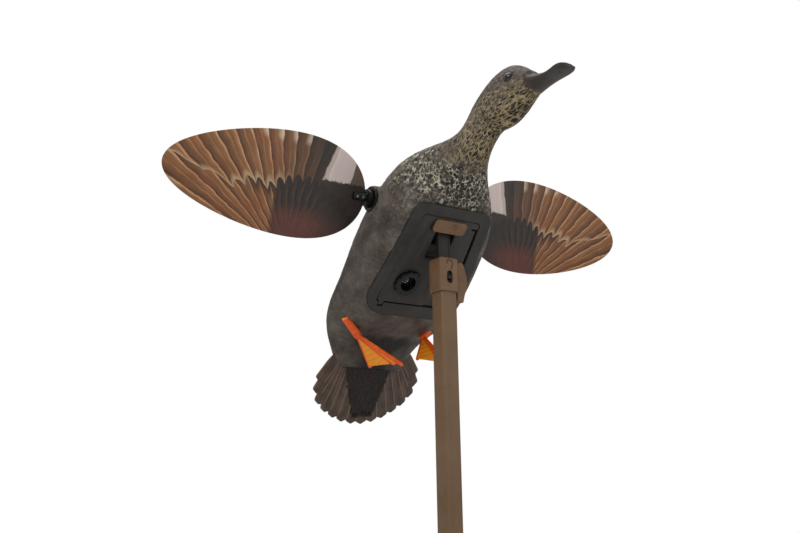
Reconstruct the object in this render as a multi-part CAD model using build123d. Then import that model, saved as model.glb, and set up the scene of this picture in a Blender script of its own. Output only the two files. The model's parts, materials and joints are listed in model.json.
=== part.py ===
from build123d import *
import math
import os

os.makedirs("parts", exist_ok=True)

# Spinning-wing duck decoy on a stake. Millimetres and degrees.
# Stake frame: origin at the centre of the stake's bottom end, +Z up, +X the way the bird heads, +Y its left.
# Bird frame: origin on the tilt pivot, +X along the belly plate towards the bill, +Z out of the bird's back.

# ---- stake, cap and peg
pole_side = 19.05
pole_wall = 1.5
pole_corner = 2.5
pole_length = 328.0
button_hole_radius = 3.25
button_hole_height = 20.0
cap_wall = 2.0
cap_corner = 3.6
cap_length = 35.5
cap_roof = 3.0
cap_top_round = 2.6
peg_width = 14.5
peg_thickness = 4.0
peg_fit = 0.55              # gap between the plug and the inside of the tube
peg_depth = 46.0            # length of plug inside the tube
pivot_above_cap = 39.0
pivot_pin_radius = 2.0
peg_eye_radius = 4.5
running_fit = 0.05          # radial clearance of a pin in its hole
loose_fit = 0.4             # gap between curved faces that move past each other
bird_pitch = 43.35

# ---- belly plate
plate_face = 13.5           # depth of the plate's outer face below the tilt pivot
plate_front = 25.6
plate_length = 136.0
plate_front_half = 46.6
plate_rear_half = 60.1
plate_thickness = 3.0
plate_front_corner = 13.0
plate_rear_corner = 25.0
ledge_width = 9.0
ledge_thickness = 4.0
rim_height = 12.5
door_front = 13.0
door_rear = -94.9
door_front_half = 35.0
door_rear_half = 45.0
door_corner = 4.0
door_gap = 0.8
door_rear_gap = 1.4

# ---- wings and drive
shaft_x = -11.8
shaft_z = 52.3
shaft_radius = 2.5
motor_radius = 14.0
motor_length = 36.0
hub_radius = 9.2
hub_end = 66.5
collar_radius = 13.5
collar_seat = 59.0
collar_thickness = 2.5
post_radius = 4.0
post_end = 82.0
wing_root = 67.6
wing_length = 219.6
wing_half_chord = 52.7
wing_sheet = 1.0
wing_set = 28.45            # angle of the blade's chord above the plate's own direction

# ---- hull: station x, centre z, lean of the station, half width, height above, depth below, squareness below
hull_wall = 2.5
hull_stations = [
    (-200, 8, 42, 42, 5, 7, 2.2),
    (-186, 18, 32, 49, 16, 14, 2.3),
    (-166, 26, 18, 59, 29, 23, 2.8),
    (-141, 30, 8, 65, 36, 36, 4.0),
    (-112, 30, 2, 65, 40, 44.5, 6.0),
    (-74, 29, 0, 65.5, 49, 44, 8.0),
    (-26, 29, -2, 63.5, 54, 44, 8.0),
    (11, 29, -6, 58, 48, 43.5, 7.0),
    (36, 28, -12, 50, 38, 41, 4.5),
    (56, 24, -18, 38.5, 26, 35, 3.2),
    (74, 17, -20, 27.5, 18, 28, 2.4),
    (90, 11, -16, 20.5, 15, 22, 2.1),
    (106, 8, -10, 18, 16, 20.5, 2.0),
    (122, 6, -18, 18.5, 18, 23, 2.0),
    (138, 0, -32, 20, 21, 28, 2.0),
    (152, -8, -40, 20.5, 24, 31, 2.0),
    (164, -18, -43, 18.5, 24, 27, 2.0),
    (174, -28, -42, 15, 17, 19, 2.0),
    (181, -35, -41, 12, 10, 13, 2.0),
]
hull_ring_points = 32
back_squareness = 2.1
cavity_first = 2            # stations between which the hull is hollow
cavity_last = 10

# ---- bill: distance along it, half width, half thickness, drop
bill_root = (175.0, -34.0)
bill_slope = -41.0
bill_stations = [
    (-4, 13, 11, 0),
    (8, 12, 9, -1.5),
    (20, 10.5, 6.2, -3),
    (31, 10.8, 3.9, -4),
    (41, 12, 3.2, -4),
    (47.5, 12, 2.8, -3.5),
    (52.5, 8.5, 2.2, -3),
]

# ---- tail fan
tail_root = (-190.0, 14.5)
tail_slope = 42.0
tail_turn = 7.0             # the soft fan is set a little towards the bird's right
tail_length = 74.0
tail_half_root = 43.5
tail_half_wide = 65.0
tail_thickness = 3.5
tail_overlap = 20.0

# ---- eyes, feet
eye_place = (171.5, 13.7, -16.5)
eye_radius = 5.2
leg_radius = 4.6
toe_radius = 2.2
web_thickness = 2.6

# ---- switch
switch_x = -68.3
switch_y = -18.6
switch_ring_radius = 15.0
switch_ring_raise = 3.5
switch_well_radius = 8.5
switch_sleeve_wall = 2.0
switch_recess = 4.6
switch_button_radius = 5.0
switch_button_length = 6.5
switch_travel = 1.5
switch_body_half = 8.5
switch_depth = 14.0

# ---- door latch
latch_x = 4.2
latch_length = 14.3
latch_width = 39.0
latch_raise = 3.5
latch_travel = 4.0
latch_leg_inner = 14.8
latch_leg_outer = 18.2

# ---- values worked out from the sizes above
cap_top = pole_length + cap_roof
cap_bottom = cap_top - cap_length
cap_side = pole_side + 2 * cap_wall
tube_bore = pole_side - 2 * pole_wall
plug_side = tube_bore - 2 * peg_fit
pivot_height = cap_top + pivot_above_cap
plate_rear = plate_front - plate_length
plate_z = -plate_face
plate_top = plate_z + plate_thickness
ledge_top = plate_top + ledge_thickness
bird = Pos(0, 0, pivot_height) * Rot(0, -bird_pitch, 0)
stake = Pos(0, 0, 0)


def box(x, y, z):
    """A block from three (low, high) pairs."""
    size = (x[1] - x[0], y[1] - y[0], z[1] - z[0])
    middle = ((x[0] + x[1]) / 2, (y[0] + y[1]) / 2, (z[0] + z[1]) / 2)
    return Pos(*middle) * Box(*size)


def rod(start, end, radius):
    """A cylinder from one point to another."""
    start = Vector(*start)
    end = Vector(*end)
    plane = Plane(origin=start, z_dir=end - start)
    return extrude(plane * Circle(radius), (end - start).length)


def ball(centre, radius):
    return Pos(*centre) * Sphere(radius)


def tapered_outline(front, rear, front_half, rear_half, inset=0.0, rear_inset=None):
    """The four corners of a straight-sided tapered plate, drawn in by inset."""
    rear_inset = inset if rear_inset is None else rear_inset
    slope = (rear_half - front_half) / (front - rear)
    x_front = front - inset
    x_rear = rear + rear_inset
    half_front = front_half + slope * (front - x_front) - inset
    half_rear = front_half + slope * (front - x_rear) - inset
    return [(x_front, half_front), (x_front, -half_front), (x_rear, -half_rear), (x_rear, half_rear)]


def plate_prism(corners, front_corner, rear_corner, low, high):
    """A tapered plate with rounded corners between two heights."""
    sheet = make_face(Polyline(*corners, close=True))
    vertices = sheet.vertices().sort_by(Axis.X)
    sheet = fillet(vertices[2:], front_corner)
    vertices = sheet.vertices().sort_by(Axis.X)
    sheet = fillet(vertices[:2], rear_corner)
    return Pos(0, 0, low) * extrude(sheet, high - low)


def plate_shape(low, high, inset=0.0):
    corners = tapered_outline(plate_front, plate_rear, plate_front_half, plate_rear_half, inset)
    front_corner = plate_front_corner - inset * 0.6
    rear_corner = plate_rear_corner - inset
    return plate_prism(corners, front_corner, rear_corner, low, high)


def door_shape(low, high, gap=0.0, rear_gap=0.0):
    corners = tapered_outline(door_front, door_rear, door_front_half, door_rear_half, -gap, -rear_gap)
    corner = max(door_corner + gap, 1.0)
    return plate_prism(corners, corner, corner, low, high)


# ---------------------------------------------------------------- bird's hull

def ring_wire(station, shrink=0.0):
    """One closed cross-section of the hull: round above, squarer below."""
    x, z, lean, half, above, below, squareness = station
    half, above, below = half - shrink, above - shrink, below - shrink
    lean = math.radians(lean)
    points = []
    for number in range(hull_ring_points):
        turn = math.pi / 2 + 2 * math.pi * number / hull_ring_points
        across, up = math.cos(turn), math.sin(turn)
        power = 2 / back_squareness if up > 0 else 2 / squareness
        reach = above if up > 0 else below
        y = half * math.copysign(abs(across) ** power, across)
        h = reach * math.copysign(abs(up) ** power, up)
        if abs(across) < 1e-9:
            y = 0.0
        if abs(up) < 1e-9:
            h = 0.0
        points.append(Vector(x - h * math.sin(lean), y, z + h * math.cos(lean)))
    knots = [number / hull_ring_points for number in range(hull_ring_points + 1)]
    return Wire([Edge.make_spline(points, periodic=True, parameters=knots)])


def hull_solid():
    return Solid.make_loft([ring_wire(station) for station in hull_stations])


def hull_cavity():
    inner = hull_stations[cavity_first:cavity_last + 1]
    return Solid.make_loft([ring_wire(station, hull_wall) for station in inner])


def bill_solid():
    slope = math.radians(bill_slope)
    wires = []
    for along, half, thick, drop in bill_stations:
        x = bill_root[0] + along * math.cos(slope) - drop * math.sin(slope)
        z = bill_root[1] + along * math.sin(slope) + drop * math.cos(slope)
        wires.append(ring_wire((x, z, bill_slope, half, thick, thick, 2.0)))
    return Solid.make_loft(wires)


def tail_point(along, across):
    """A point of the tail fan's middle plane, turned by the fan's set."""
    slope = math.radians(tail_slope)
    turn = math.radians(tail_turn)
    far = along * math.cos(turn) - across * math.sin(turn)
    side = across * math.cos(turn) - along * math.sin(turn)
    x = tail_root[0] - far * math.cos(slope)
    z = tail_root[1] - far * math.sin(slope)
    return Vector(x, side, z)


def tail_fan():
    """A soft fan set into the rear of the hull."""
    edge = [
        (-tail_overlap, tail_half_root - 3),
        (0, tail_half_root + 4),
        (tail_length * 0.28, tail_half_wide - 3),
        (tail_length * 0.45, tail_half_wide),
        (tail_length * 0.65, tail_half_wide - 6),
        (tail_length * 0.84, tail_half_wide * 0.62),
        (tail_length, tail_half_wide * 0.2),
    ]
    points = [tail_point(along, across) for along, across in edge]
    points += [tail_point(along, -across) for along, across in reversed(edge)]
    outline = Wire([Edge.make_spline(points), Edge.make_line(points[-1], points[0])])
    sheet = Face(outline)
    normal = sheet.normal_at()
    return extrude(sheet, tail_thickness / 2, dir=normal, both=True) - hull_solid()


def shaft_boss(side, radius, low, high):
    return rod((shaft_x, side * low, shaft_z), (shaft_x, side * high, shaft_z), radius)


def body_shell():
    outer = hull_solid()
    ledge = plate_shape(plate_z, ledge_top, inset=-2.0) & outer
    shell = outer - hull_cavity() + ledge + bill_solid()
    for side in (-1, 1):
        shell += shaft_boss(side, collar_radius + 1.0, collar_seat - 8, collar_seat)
    shell -= plate_shape(plate_z - 30, plate_top)
    shell -= plate_shape(plate_z - 30, ledge_top + 1, inset=ledge_width)
    shell -= hinge_pins()
    for side in (-1, 1):
        shell -= knuckle_notch(side)
        shell -= shaft_boss(side, collar_radius + 1.0, collar_seat, collar_seat + 10)
        shell -= shaft_boss(side, collar_sleeve_radius(), collar_seat - 30, collar_seat + 10)
        shell -= eye(side)
        shell -= foot(side)
    for place in frame_screw_places():
        shell -= rod((*place, plate_z), (*place, ledge_top + 1), screw_radius)
    for place in bracket_screw_places():
        shell -= rod((*place, plate_top + 0.4), (*place, ledge_top + 1), screw_radius)
    return shell


def eye(side):
    x, y, z = eye_place
    return ball((x, side * y, z), eye_radius)


# ---------------------------------------------------------------- feet

feet = {
    -1: {"root": (-131, -61, 3), "ankle": (-146, -43, -6), "toes": [(-166, -30, -33), (-125.5, -30, -81)]},
    1: {"root": (-129, 46, 0), "ankle": (-140, 40, -5), "toes": [(-156, 30, -25), (-124, 30, -75)]},
}


def foot(side):
    """A hollow-looking soft foot: leg, two outer toes, a middle toe and the web between them."""
    shape = feet[side]
    ankle = Vector(*shape["ankle"])
    first = Vector(*shape["toes"][0])
    last = Vector(*shape["toes"][1])
    middle = ankle + (first * 0.2 + last * 0.8 - ankle) * 0.96
    web = Face(Wire.make_polygon([ankle, first, middle, last], close=True))
    normal = (first - ankle).cross(last - ankle).normalized()
    body = extrude(web, web_thickness / 2, dir=normal, both=True)
    body += rod(shape["root"], shape["ankle"], leg_radius)
    body += ball(shape["ankle"], leg_radius)
    for tip in (first, middle, last):
        body += rod(shape["ankle"], tuple(tip), toe_radius)
        body += ball(tuple(tip), toe_radius)
    return body


# ---------------------------------------------------------------- belly frame and its screws

screw_radius = 1.5
screw_head_radius = 3.0
screw_head_height = 2.0
bracket_foot = 2.5


def frame_screw_places():
    front = plate_front - ledge_width / 2
    rear = plate_rear + ledge_width / 2
    return [(front, 28), (front, -28), (rear, 30), (rear, -30)]


def bracket_screw_places():
    half = leg_inside() + 7.5
    return [(shaft_x + dx, side * half) for dx in (-8, 8) for side in (-1, 1)]


def screws(places, head_seat, bottom):
    """Pan-head screws standing in the given places."""
    group = []
    for place in places:
        shank = rod((*place, bottom), (*place, head_seat), screw_radius)
        head = rod((*place, head_seat), (*place, head_seat + screw_head_height), screw_head_radius)
        group.append(shank + head)
    return Compound(children=group)


def frame_screws():
    return screws(frame_screw_places(), ledge_top, plate_z + 1)


def bracket_screws():
    return screws(bracket_screw_places(), ledge_top + bracket_foot, plate_top + 0.4)


hinge_x = door_rear - 3.3
hinge_z = plate_z + 3.0
hinge_pin_radius = 1.0
knuckle_radius = 2.8
knuckle_span = (35.5, 41.5)
hinge_pin_span = (32.5, 44.5)


def knuckle_notch(side):
    """Room for one of the door's hinge knuckles."""
    y = sorted((side * (knuckle_span[0] - loose_fit), side * (knuckle_span[1] + loose_fit)))
    return box((hinge_x - knuckle_radius - loose_fit, door_rear), y, (plate_z - 1, plate_z + 30))


def base_frame():
    flange = plate_shape(plate_z, plate_top)
    rim = plate_shape(plate_top, plate_top + rim_height, inset=ledge_width + 0.2)
    frame = flange + rim
    frame -= door_shape(plate_z - 1, plate_top + rim_height + 1, door_gap, door_rear_gap)
    for side in (-1, 1):
        frame -= knuckle_notch(side)
        ends = [side * value for value in hinge_pin_span]
        frame -= rod((hinge_x, ends[0], hinge_z), (hinge_x, ends[1], hinge_z), hinge_pin_radius)
        slot_y = sorted((side * (latch_leg_inner - 0.8), side * (latch_leg_outer + 0.8)))
        frame -= box((door_front, door_front + 4.6), slot_y, (plate_top, plate_top + 3.5))
    for place in frame_screw_places():
        frame -= rod((*place, plate_z + 1), (*place, plate_top + 1), screw_radius)
    return frame


def hinge_pins():
    pins = []
    for side in (-1, 1):
        ends = [side * value for value in hinge_pin_span]
        pins.append(rod((hinge_x, ends[0], hinge_z), (hinge_x, ends[1], hinge_z), hinge_pin_radius))
    return Compound(children=pins)


# ---------------------------------------------------------------- chassis door

pocket_half = 12.0
pocket_wall = 1.8
pocket_front = 5.2
pocket_deep_rear = -22.0
pocket_rear = -36.0
pocket_mouth_front = -4.0
pocket_deep_top = 5.7
pocket_shallow_top = -6.8
cover_x = (-84.4, -45.0)
cover_y = (8.0, 35.0)
cover_thickness = 1.5
cover_screw_place = (-51.0, 22.0)
notch_y = (14.0, 25.0)
notch_depth = 2.0
slot_width = 2.2
slot_x = (-62.0, 6.0)


def pivot_boss_span(side):
    return sorted((side * 9.0, side * (pocket_half + 0.1)))


rib_inset = 2.5
rib_thickness = 1.8
rib_height = 1.8


def door_rib():
    """Low stiffening rib inside the door's edge, broken at the latch tongues and the battery tray."""
    inner = -rib_inset - rib_thickness
    rib = door_shape(plate_top, plate_top + rib_height, -rib_inset, -rib_inset)
    rib -= door_shape(plate_top, plate_top + rib_height, inner, inner)
    width = holder_size()[0]
    rib -= box((holder_x[0] - loose_fit, holder_x[1]), (holder_y0 - loose_fit, holder_y0 + width + loose_fit),
               (plate_top, plate_top + rib_height))
    for side in (-1, 1):
        y = sorted((side * (latch_leg_inner - 0.8), side * (latch_leg_outer + 0.8)))
        rib -= box((latch_x, door_front), y, (plate_top, plate_top + rib_height))
    return rib


def side_slot():
    """The wide finger slot along the door's left edge."""
    edge = door_shape(plate_z - 1, plate_top + 1, 1) - door_shape(plate_z - 2, plate_top + 2, -slot_width)
    slot = edge & box(slot_x, (0, door_rear_half + 5), (plate_z - 1, plate_top + 1))
    hook_y = door_front_half - slot_width - 2.0
    return slot + box((slot_x[1] - 2.5, slot_x[1]), (hook_y - 2.5, hook_y + 2.5), (plate_z - 1, plate_top + 1))


def chassis_door():
    door = door_shape(plate_z, plate_top)
    door -= side_slot()
    door += door_rib()
    wide = pocket_half + pocket_wall
    door += box((pocket_deep_rear - pocket_wall, pocket_front + pocket_wall), (-wide, wide),
                (plate_z, pocket_deep_top + pocket_wall))
    door += box((pocket_rear - pocket_wall, pocket_deep_rear), (-wide, wide),
                (plate_z, pocket_shallow_top + pocket_wall))
    door -= box((pocket_deep_rear, pocket_front), (-pocket_half, pocket_half), (plate_top, pocket_deep_top))
    door -= box((pocket_rear, pocket_deep_rear), (-pocket_half, pocket_half), (plate_top, pocket_shallow_top))
    door -= box((pocket_rear, pocket_mouth_front), (-pocket_half, pocket_half), (plate_z - 1, plate_top + 1))
    for side in (-1, 1):
        y = pivot_boss_span(side)
        door += rod((0, y[0], 0), (0, y[1], 0), peg_eye_radius)
        leg_y = sorted((side * (latch_leg_inner - loose_fit), side * (latch_leg_outer + loose_fit)))
        slot_x = (latch_leg_x()[0] - latch_travel - loose_fit, latch_leg_x()[1] + loose_fit)
        door -= box(slot_x, leg_y, (plate_z - 1, plate_top + 1))
        span = sorted(side * value for value in knuckle_span)
        door += rod((hinge_x, span[0], hinge_z), (hinge_x, span[1], hinge_z), knuckle_radius)
        door += box((hinge_x, door_rear + 1.5), span, (plate_z, hinge_z + knuckle_radius))
        door -= rod((hinge_x, span[0] - 1, hinge_z), (hinge_x, span[1] + 1, hinge_z),
                    hinge_pin_radius + running_fit)
    door -= rod((0, -wide - 1, 0), (0, wide + 1, 0), pivot_pin_radius)
    door -= rod((switch_x, switch_y, plate_z - 1), (switch_x, switch_y, plate_top + 1), sleeve_radius())
    door -= box(cover_x, cover_y, (plate_z - 1, plate_z + cover_thickness))
    door -= box((door_rear - 1, cover_x[0]), notch_y, (plate_z - 1, plate_z + notch_depth))
    door -= rod((*cover_screw_place, plate_z), (*cover_screw_place, plate_top - 0.5), 1.2)
    for place in board_screw_places():
        door += rod((*place, plate_top), (*place, board_low), 3.0)
        door -= rod((*place, plate_top + 0.4), (*place, board_low + 1), 1.0)
    return door


def tilt_pivot_pin():
    wide = pocket_half + pocket_wall
    return rod((0, -wide, 0), (0, wide, 0), pivot_pin_radius)


def pivot_washers():
    rings = []
    for side in (-1, 1):
        y = sorted((side * 7.8, side * 9.0))
        ring = rod((0, y[0], 0), (0, y[1], 0), peg_eye_radius - 0.3)
        ring -= rod((0, y[0] - 1, 0), (0, y[1] + 1, 0), pivot_pin_radius + running_fit)
        rings.append(ring)
    return Compound(children=rings)


def access_cover():
    cover = box(cover_x, cover_y, (plate_z, plate_z + cover_thickness))
    cover -= rod((*cover_screw_place, plate_z - 1), (*cover_screw_place, plate_z + 3), 1.2)
    cover -= rod((*cover_screw_place, plate_z - 1), (*cover_screw_place, plate_z + 0.8), 2.4)
    return cover


def cover_screw():
    screw = rod((*cover_screw_place, plate_z), (*cover_screw_place, plate_z + 0.8), 2.4)
    screw += rod((*cover_screw_place, plate_z), (*cover_screw_place, plate_top - 0.5), 1.2)
    screw -= box((cover_screw_place[0] - 1.8, cover_screw_place[0] + 1.8),
                 (cover_screw_place[1] - 0.35, cover_screw_place[1] + 0.35), (plate_z, plate_z + 0.4))
    return screw


def latch_leg_x():
    return (latch_x - 3.2, latch_x + 2.8)


def door_latch():
    half = latch_length / 2
    pad = box((latch_x - half, latch_x + half), (-latch_width / 2, latch_width / 2),
              (plate_z - latch_raise, plate_z - 0.35))
    pad = fillet(pad.edges().filter_by(Axis.Z), 4.0)
    pad = fillet(pad.faces().sort_by(Axis.Z)[0].edges(), 1.2)
    pad -= Pos(latch_x + 1.5, 3, plate_z - latch_raise - 4.5) * Rot(0, 0, 0) * Sphere(6.0)
    for side in (-1, 1):
        leg_y = sorted((side * latch_leg_inner, side * latch_leg_outer))
        pad += box(latch_leg_x(), leg_y, (plate_z - 1.0, plate_top + 2.6))
        pad += box((latch_leg_x()[0], door_front + 3.6), leg_y, (plate_top + 0.35, plate_top + 2.6))
    return pad


# ---------------------------------------------------------------- switch

def sleeve_radius():
    return switch_well_radius + switch_sleeve_wall


def well_floor():
    return plate_z + switch_recess + 0.5


def switch_bezel():
    ring = rod((switch_x, switch_y, plate_z - switch_ring_raise), (switch_x, switch_y, plate_z),
               switch_ring_radius)
    lobes = 12
    for number in range(lobes):
        turn = 2 * math.pi * number / lobes
        x = switch_x + (switch_ring_radius + 0.6) * math.cos(turn)
        y = switch_y + (switch_ring_radius + 0.6) * math.sin(turn)
        ring -= rod((x, y, plate_z - 5), (x, y, plate_z + 5), 1.6)
    sleeve_top = well_floor() + 1.5
    ring += rod((switch_x, switch_y, plate_z - 0.5), (switch_x, switch_y, sleeve_top), sleeve_radius())
    ring -= rod((switch_x, switch_y, plate_z - 5), (switch_x, switch_y, well_floor()), switch_well_radius)
    ring -= rod((switch_x, switch_y, plate_z - 5), (switch_x, switch_y, sleeve_top + 1),
                switch_button_radius + loose_fit)
    return ring


def power_button():
    low = plate_z + switch_recess
    button = rod((switch_x, switch_y, low), (switch_x, switch_y, low + switch_button_length), switch_button_radius)
    edges = button.edges().sort_by(Axis.Z)[:1]
    return fillet(edges, 0.8)


def switch_body():
    low = well_floor() + 1.5
    high = low + switch_depth
    half = switch_body_half
    body = box((switch_x - half, switch_x + half), (switch_y - half, switch_y + half), (low, high))
    well = plate_z + switch_recess + switch_button_length + switch_travel + 0.5
    body -= rod((switch_x, switch_y, low - 1), (switch_x, switch_y, well), switch_button_radius + loose_fit)
    for dx in (-4, 4):
        body += box((switch_x + dx - 0.4, switch_x + dx + 0.4), (switch_y - 2, switch_y + 2), (high, high + 5))
    return body


# ---------------------------------------------------------------- battery holder and control board

cell_radius = 7.15
cell_length = 50.0
holder_x = (-93.0, -38.4)
holder_y0 = 5.0
holder_wall = 1.4
cell_pitch = 14.8
cell_layers = 2
board_low = plate_top + 2.0
board_thickness = 1.6
board_x = (-54.0, -20.0)
board_y = (-35.0, -15.6)


def cell_places():
    first = holder_y0 + holder_wall + cell_radius + 0.3
    base = plate_top + holder_wall + cell_radius + 0.2
    return [(first + column * cell_pitch, base + row * cell_pitch) for row in range(cell_layers) for column in (0, 1)]


def holder_size():
    width = 2 * holder_wall + 2 * cell_radius + cell_pitch + 0.6
    height = holder_wall + 0.4 + cell_radius * 2 + cell_pitch * (cell_layers - 1)
    return width, height


def battery_holder():
    width, height = holder_size()
    y = (holder_y0, holder_y0 + width)
    z = (plate_top, plate_top + height)
    tray = box(holder_x, y, z)
    tray -= box((holder_x[0] + holder_wall, holder_x[1] - holder_wall), (y[0] + holder_wall, y[1] - holder_wall),
                (z[0] + holder_wall, z[1] + 1))
    return tray


def battery_cells():
    middle = (holder_x[0] + holder_x[1]) / 2
    cells = []
    for y, z in cell_places():
        cell = rod((middle - cell_length / 2, y, z), (middle + cell_length / 2 - 1.0, y, z), cell_radius)
        cell += rod((middle + cell_length / 2 - 1.0, y, z), (middle + cell_length / 2, y, z), 2.7)
        cells.append(cell)
    return Compound(children=cells)


def battery_contacts():
    """Plates at both ends of the tray, each with a pressed dome that reaches the cells."""
    width, height = holder_size()
    middle = (holder_x[0] + holder_x[1]) / 2
    inside = (holder_x[0] + holder_wall, holder_x[1] - holder_wall)
    plates = []
    for wall, cell_end, way in ((inside[0], middle - cell_length / 2, 1), (inside[1], middle + cell_length / 2, -1)):
        for row in range(cell_layers):
            y0, z = cell_places()[2 * row]
            x = sorted((wall, wall + way * 0.4))
            plate = box(x, (y0 - 4, y0 + cell_pitch + 4), (z - 4, z + 4))
            for column in (0, 1):
                y = y0 + column * cell_pitch
                plate += rod((wall + way * 0.4, y, z), (cell_end, y, z), 2.4)
            plates.append(plate)
    return Compound(children=plates)


def board_screw_places():
    return [(board_x[0] + 3.5, board_y[1] - 3.5), (board_x[1] - 3.5, board_y[0] + 3.5)]


def control_board():
    high = board_low + board_thickness
    board = box(board_x, board_y, (board_low, high))
    for place in board_screw_places():
        board -= rod((*place, board_low - 1), (*place, high + 1), 1.0)
    return board


def board_parts():
    high = board_low + board_thickness
    middle = ((board_x[0] + board_x[1]) / 2, (board_y[0] + board_y[1]) / 2)
    chip = box((middle[0] - 5, middle[0] + 5), (middle[1] - 3, middle[1] + 3), (high, high + 1.8))
    plug = box((board_x[0] + 9, board_x[0] + 17), (board_y[0] + 0.5, board_y[0] + 5.5), (high, high + 5.5))
    can = rod((board_x[1] - 9, board_y[1] - 5, high), (board_x[1] - 9, board_y[1] - 5, high + 8), 3.2)
    coil = rod((board_x[1] - 4.5, board_y[1] - 11, high), (board_x[1] - 4.5, board_y[1] - 11, high + 3), 2.5)
    return Compound(children=[chip, plug, can, coil])


def board_screws():
    high = board_low + board_thickness
    group = []
    for place in board_screw_places():
        shank = rod((*place, plate_top + 0.4), (*place, high), 1.0)
        group.append(shank + rod((*place, high), (*place, high + 1.2), 2.0))
    return Compound(children=group)


# ---------------------------------------------------------------- motor and its bracket

bar_top = shaft_z - motor_radius - 1.0
bar_thickness = 3.0
bracket_half_x = 12.0
leg_thickness = 2.5


def leg_inside():
    """Legs stand just outside the frame's rim."""
    slope = (plate_rear_half - plate_front_half) / plate_length
    return plate_front_half + slope * (plate_front - shaft_x + bracket_half_x) - ledge_width + 0.8


def motor_bracket():
    x = (shaft_x - bracket_half_x, shaft_x + bracket_half_x)
    inside = leg_inside()
    bar = box(x, (-inside - leg_thickness, inside + leg_thickness), (bar_top - bar_thickness, bar_top))
    for side in (-1, 1):
        leg_y = sorted((side * inside, side * (inside + leg_thickness)))
        bar += box(x, leg_y, (ledge_top, bar_top))
        foot_y = sorted((side * inside, side * (inside + 11)))
        bar += box(x, foot_y, (ledge_top, ledge_top + bracket_foot))
    half = motor_length / 2
    saddle = box(x, (-half + 4, half - 4), (bar_top, bar_top + 8))
    saddle -= shaft_tube(half, motor_radius)
    bar += saddle
    for place in bracket_screw_places():
        bar -= rod((*place, ledge_top - 1), (*place, ledge_top + 5), screw_radius)
    return bar


def shaft_tube(half, radius):
    return rod((shaft_x, -half, shaft_z), (shaft_x, half, shaft_z), radius)


def motor_strap():
    """A thin strap over the motor, hooked down to the bracket's bar on both sides."""
    outer = motor_radius + 1.2
    half = 5.0
    strap = shaft_tube(half, outer) - shaft_tube(half + 1, motor_radius)
    strap -= box((shaft_x - 30, shaft_x + 30), (-half - 1, half + 1), (shaft_z - 30, shaft_z))
    for way in (-1, 1):
        x = sorted((shaft_x + way * motor_radius, shaft_x + way * outer))
        strap += box(x, (-half, half), (bar_top - bar_thickness - 1.2, shaft_z))
        hook_x = sorted((shaft_x + way * (bracket_half_x - 3), shaft_x + way * outer))
        strap += box(hook_x, (-half, half), (bar_top - bar_thickness - 1.2, bar_top - bar_thickness))
    return strap


def motor():
    half = motor_length / 2
    can = shaft_tube(half, motor_radius)
    can += shaft_tube(half + 2.5, 5.0)
    can -= shaft_tube(half + 5, shaft_radius + running_fit)
    return can


def drive_shaft():
    return shaft_tube(hub_inner() + 7, shaft_radius)


def hub_inner():
    return collar_seat - 6.0


def hub(side):
    """A cup on the end of the shaft: its mouth takes the wing's root."""
    mouth = hub_end - 6.0
    cup = shaft_boss(side, hub_radius, hub_inner(), hub_end)
    cup -= shaft_boss(side, shaft_radius, hub_inner() - 1, hub_inner() + 7)
    cup -= shaft_boss(side, post_radius + 2.4, mouth, hub_end + 1)
    return cup


def hub_magnet(side):
    mouth = hub_end - 6.0
    return shaft_boss(side, post_radius + 2.0, mouth, mouth + 1.6)


def collar_sleeve_radius():
    return hub_radius + 0.6 + 2.0


def shaft_collar(side):
    """Rounded ring on the body's side, with a sleeve that the hub turns in."""
    ring = shaft_boss(side, collar_radius, collar_seat, collar_seat + collar_thickness)
    rim = ring.faces().sort_by(Axis.Y)[-1 if side > 0 else 0].edges()
    ring = fillet(rim, 1.1)
    ring += shaft_boss(side, collar_sleeve_radius(), collar_seat - 9, collar_seat + 0.5)
    ring -= shaft_boss(side, hub_radius + 0.6, collar_seat - 20, collar_seat + 10)
    return ring


# ---------------------------------------------------------------- wings

def blade_place(side):
    """Puts a sheet drawn with its span along +Y onto the shaft line, turned to the blade's set."""
    return Pos(shaft_x, 0, shaft_z) * Rot(0, -wing_set, 0)


def wing_outline(side):
    half = wing_length / 2
    points = []
    count = 36
    for number in range(count):
        turn = 2 * math.pi * (number + 0.5) / count
        span = wing_root + half * (1 + math.cos(turn))
        fullness = 1 - 0.262 * math.cos(turn) + 0.03 * math.cos(2 * turn)
        chord = wing_half_chord * math.sin(turn) * fullness
        points.append((chord, side * span))
    return make_face(Spline(*points, periodic=True))


def wing(side):
    blade = extrude(wing_outline(side), wing_sheet / 2, both=True)
    for y in rivet_places():
        blade -= rod((0, side * y, -5), (0, side * y, 5), 1.3)
    return blade_place(side) * blade


def rivet_places():
    return (wing_root + 3.6, wing_root + 10.4)


def wing_post(side):
    """Slit post: the blade's root is riveted in its slot."""
    root = hub_end - 4.1
    post = rod((0, side * root, 0), (0, side * post_end, 0), post_radius)
    post += rod((0, side * (root + 1.2), 0), (0, side * (root + 3.2), 0), post_radius + 2.0)
    slot_y = sorted((side * wing_root, side * (post_end + 1)))
    post -= box((-10, 10), slot_y, (-wing_sheet / 2, wing_sheet / 2))
    for y in rivet_places():
        post -= rod((0, side * y, -5), (0, side * y, 5), 1.3)
    return blade_place(side) * post


def wing_rivets(side):
    group = []
    for y in rivet_places():
        group.append(rod((0, side * y, -post_radius - 0.2), (0, side * y, post_radius + 0.2), 1.3))
    return blade_place(side) * Compound(children=group)


# ---------------------------------------------------------------- stake

def square_tube_prism(side, corner, low, high):
    sheet = RectangleRounded(side, side, corner)
    return Pos(0, 0, low) * extrude(sheet, high - low)


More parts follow.
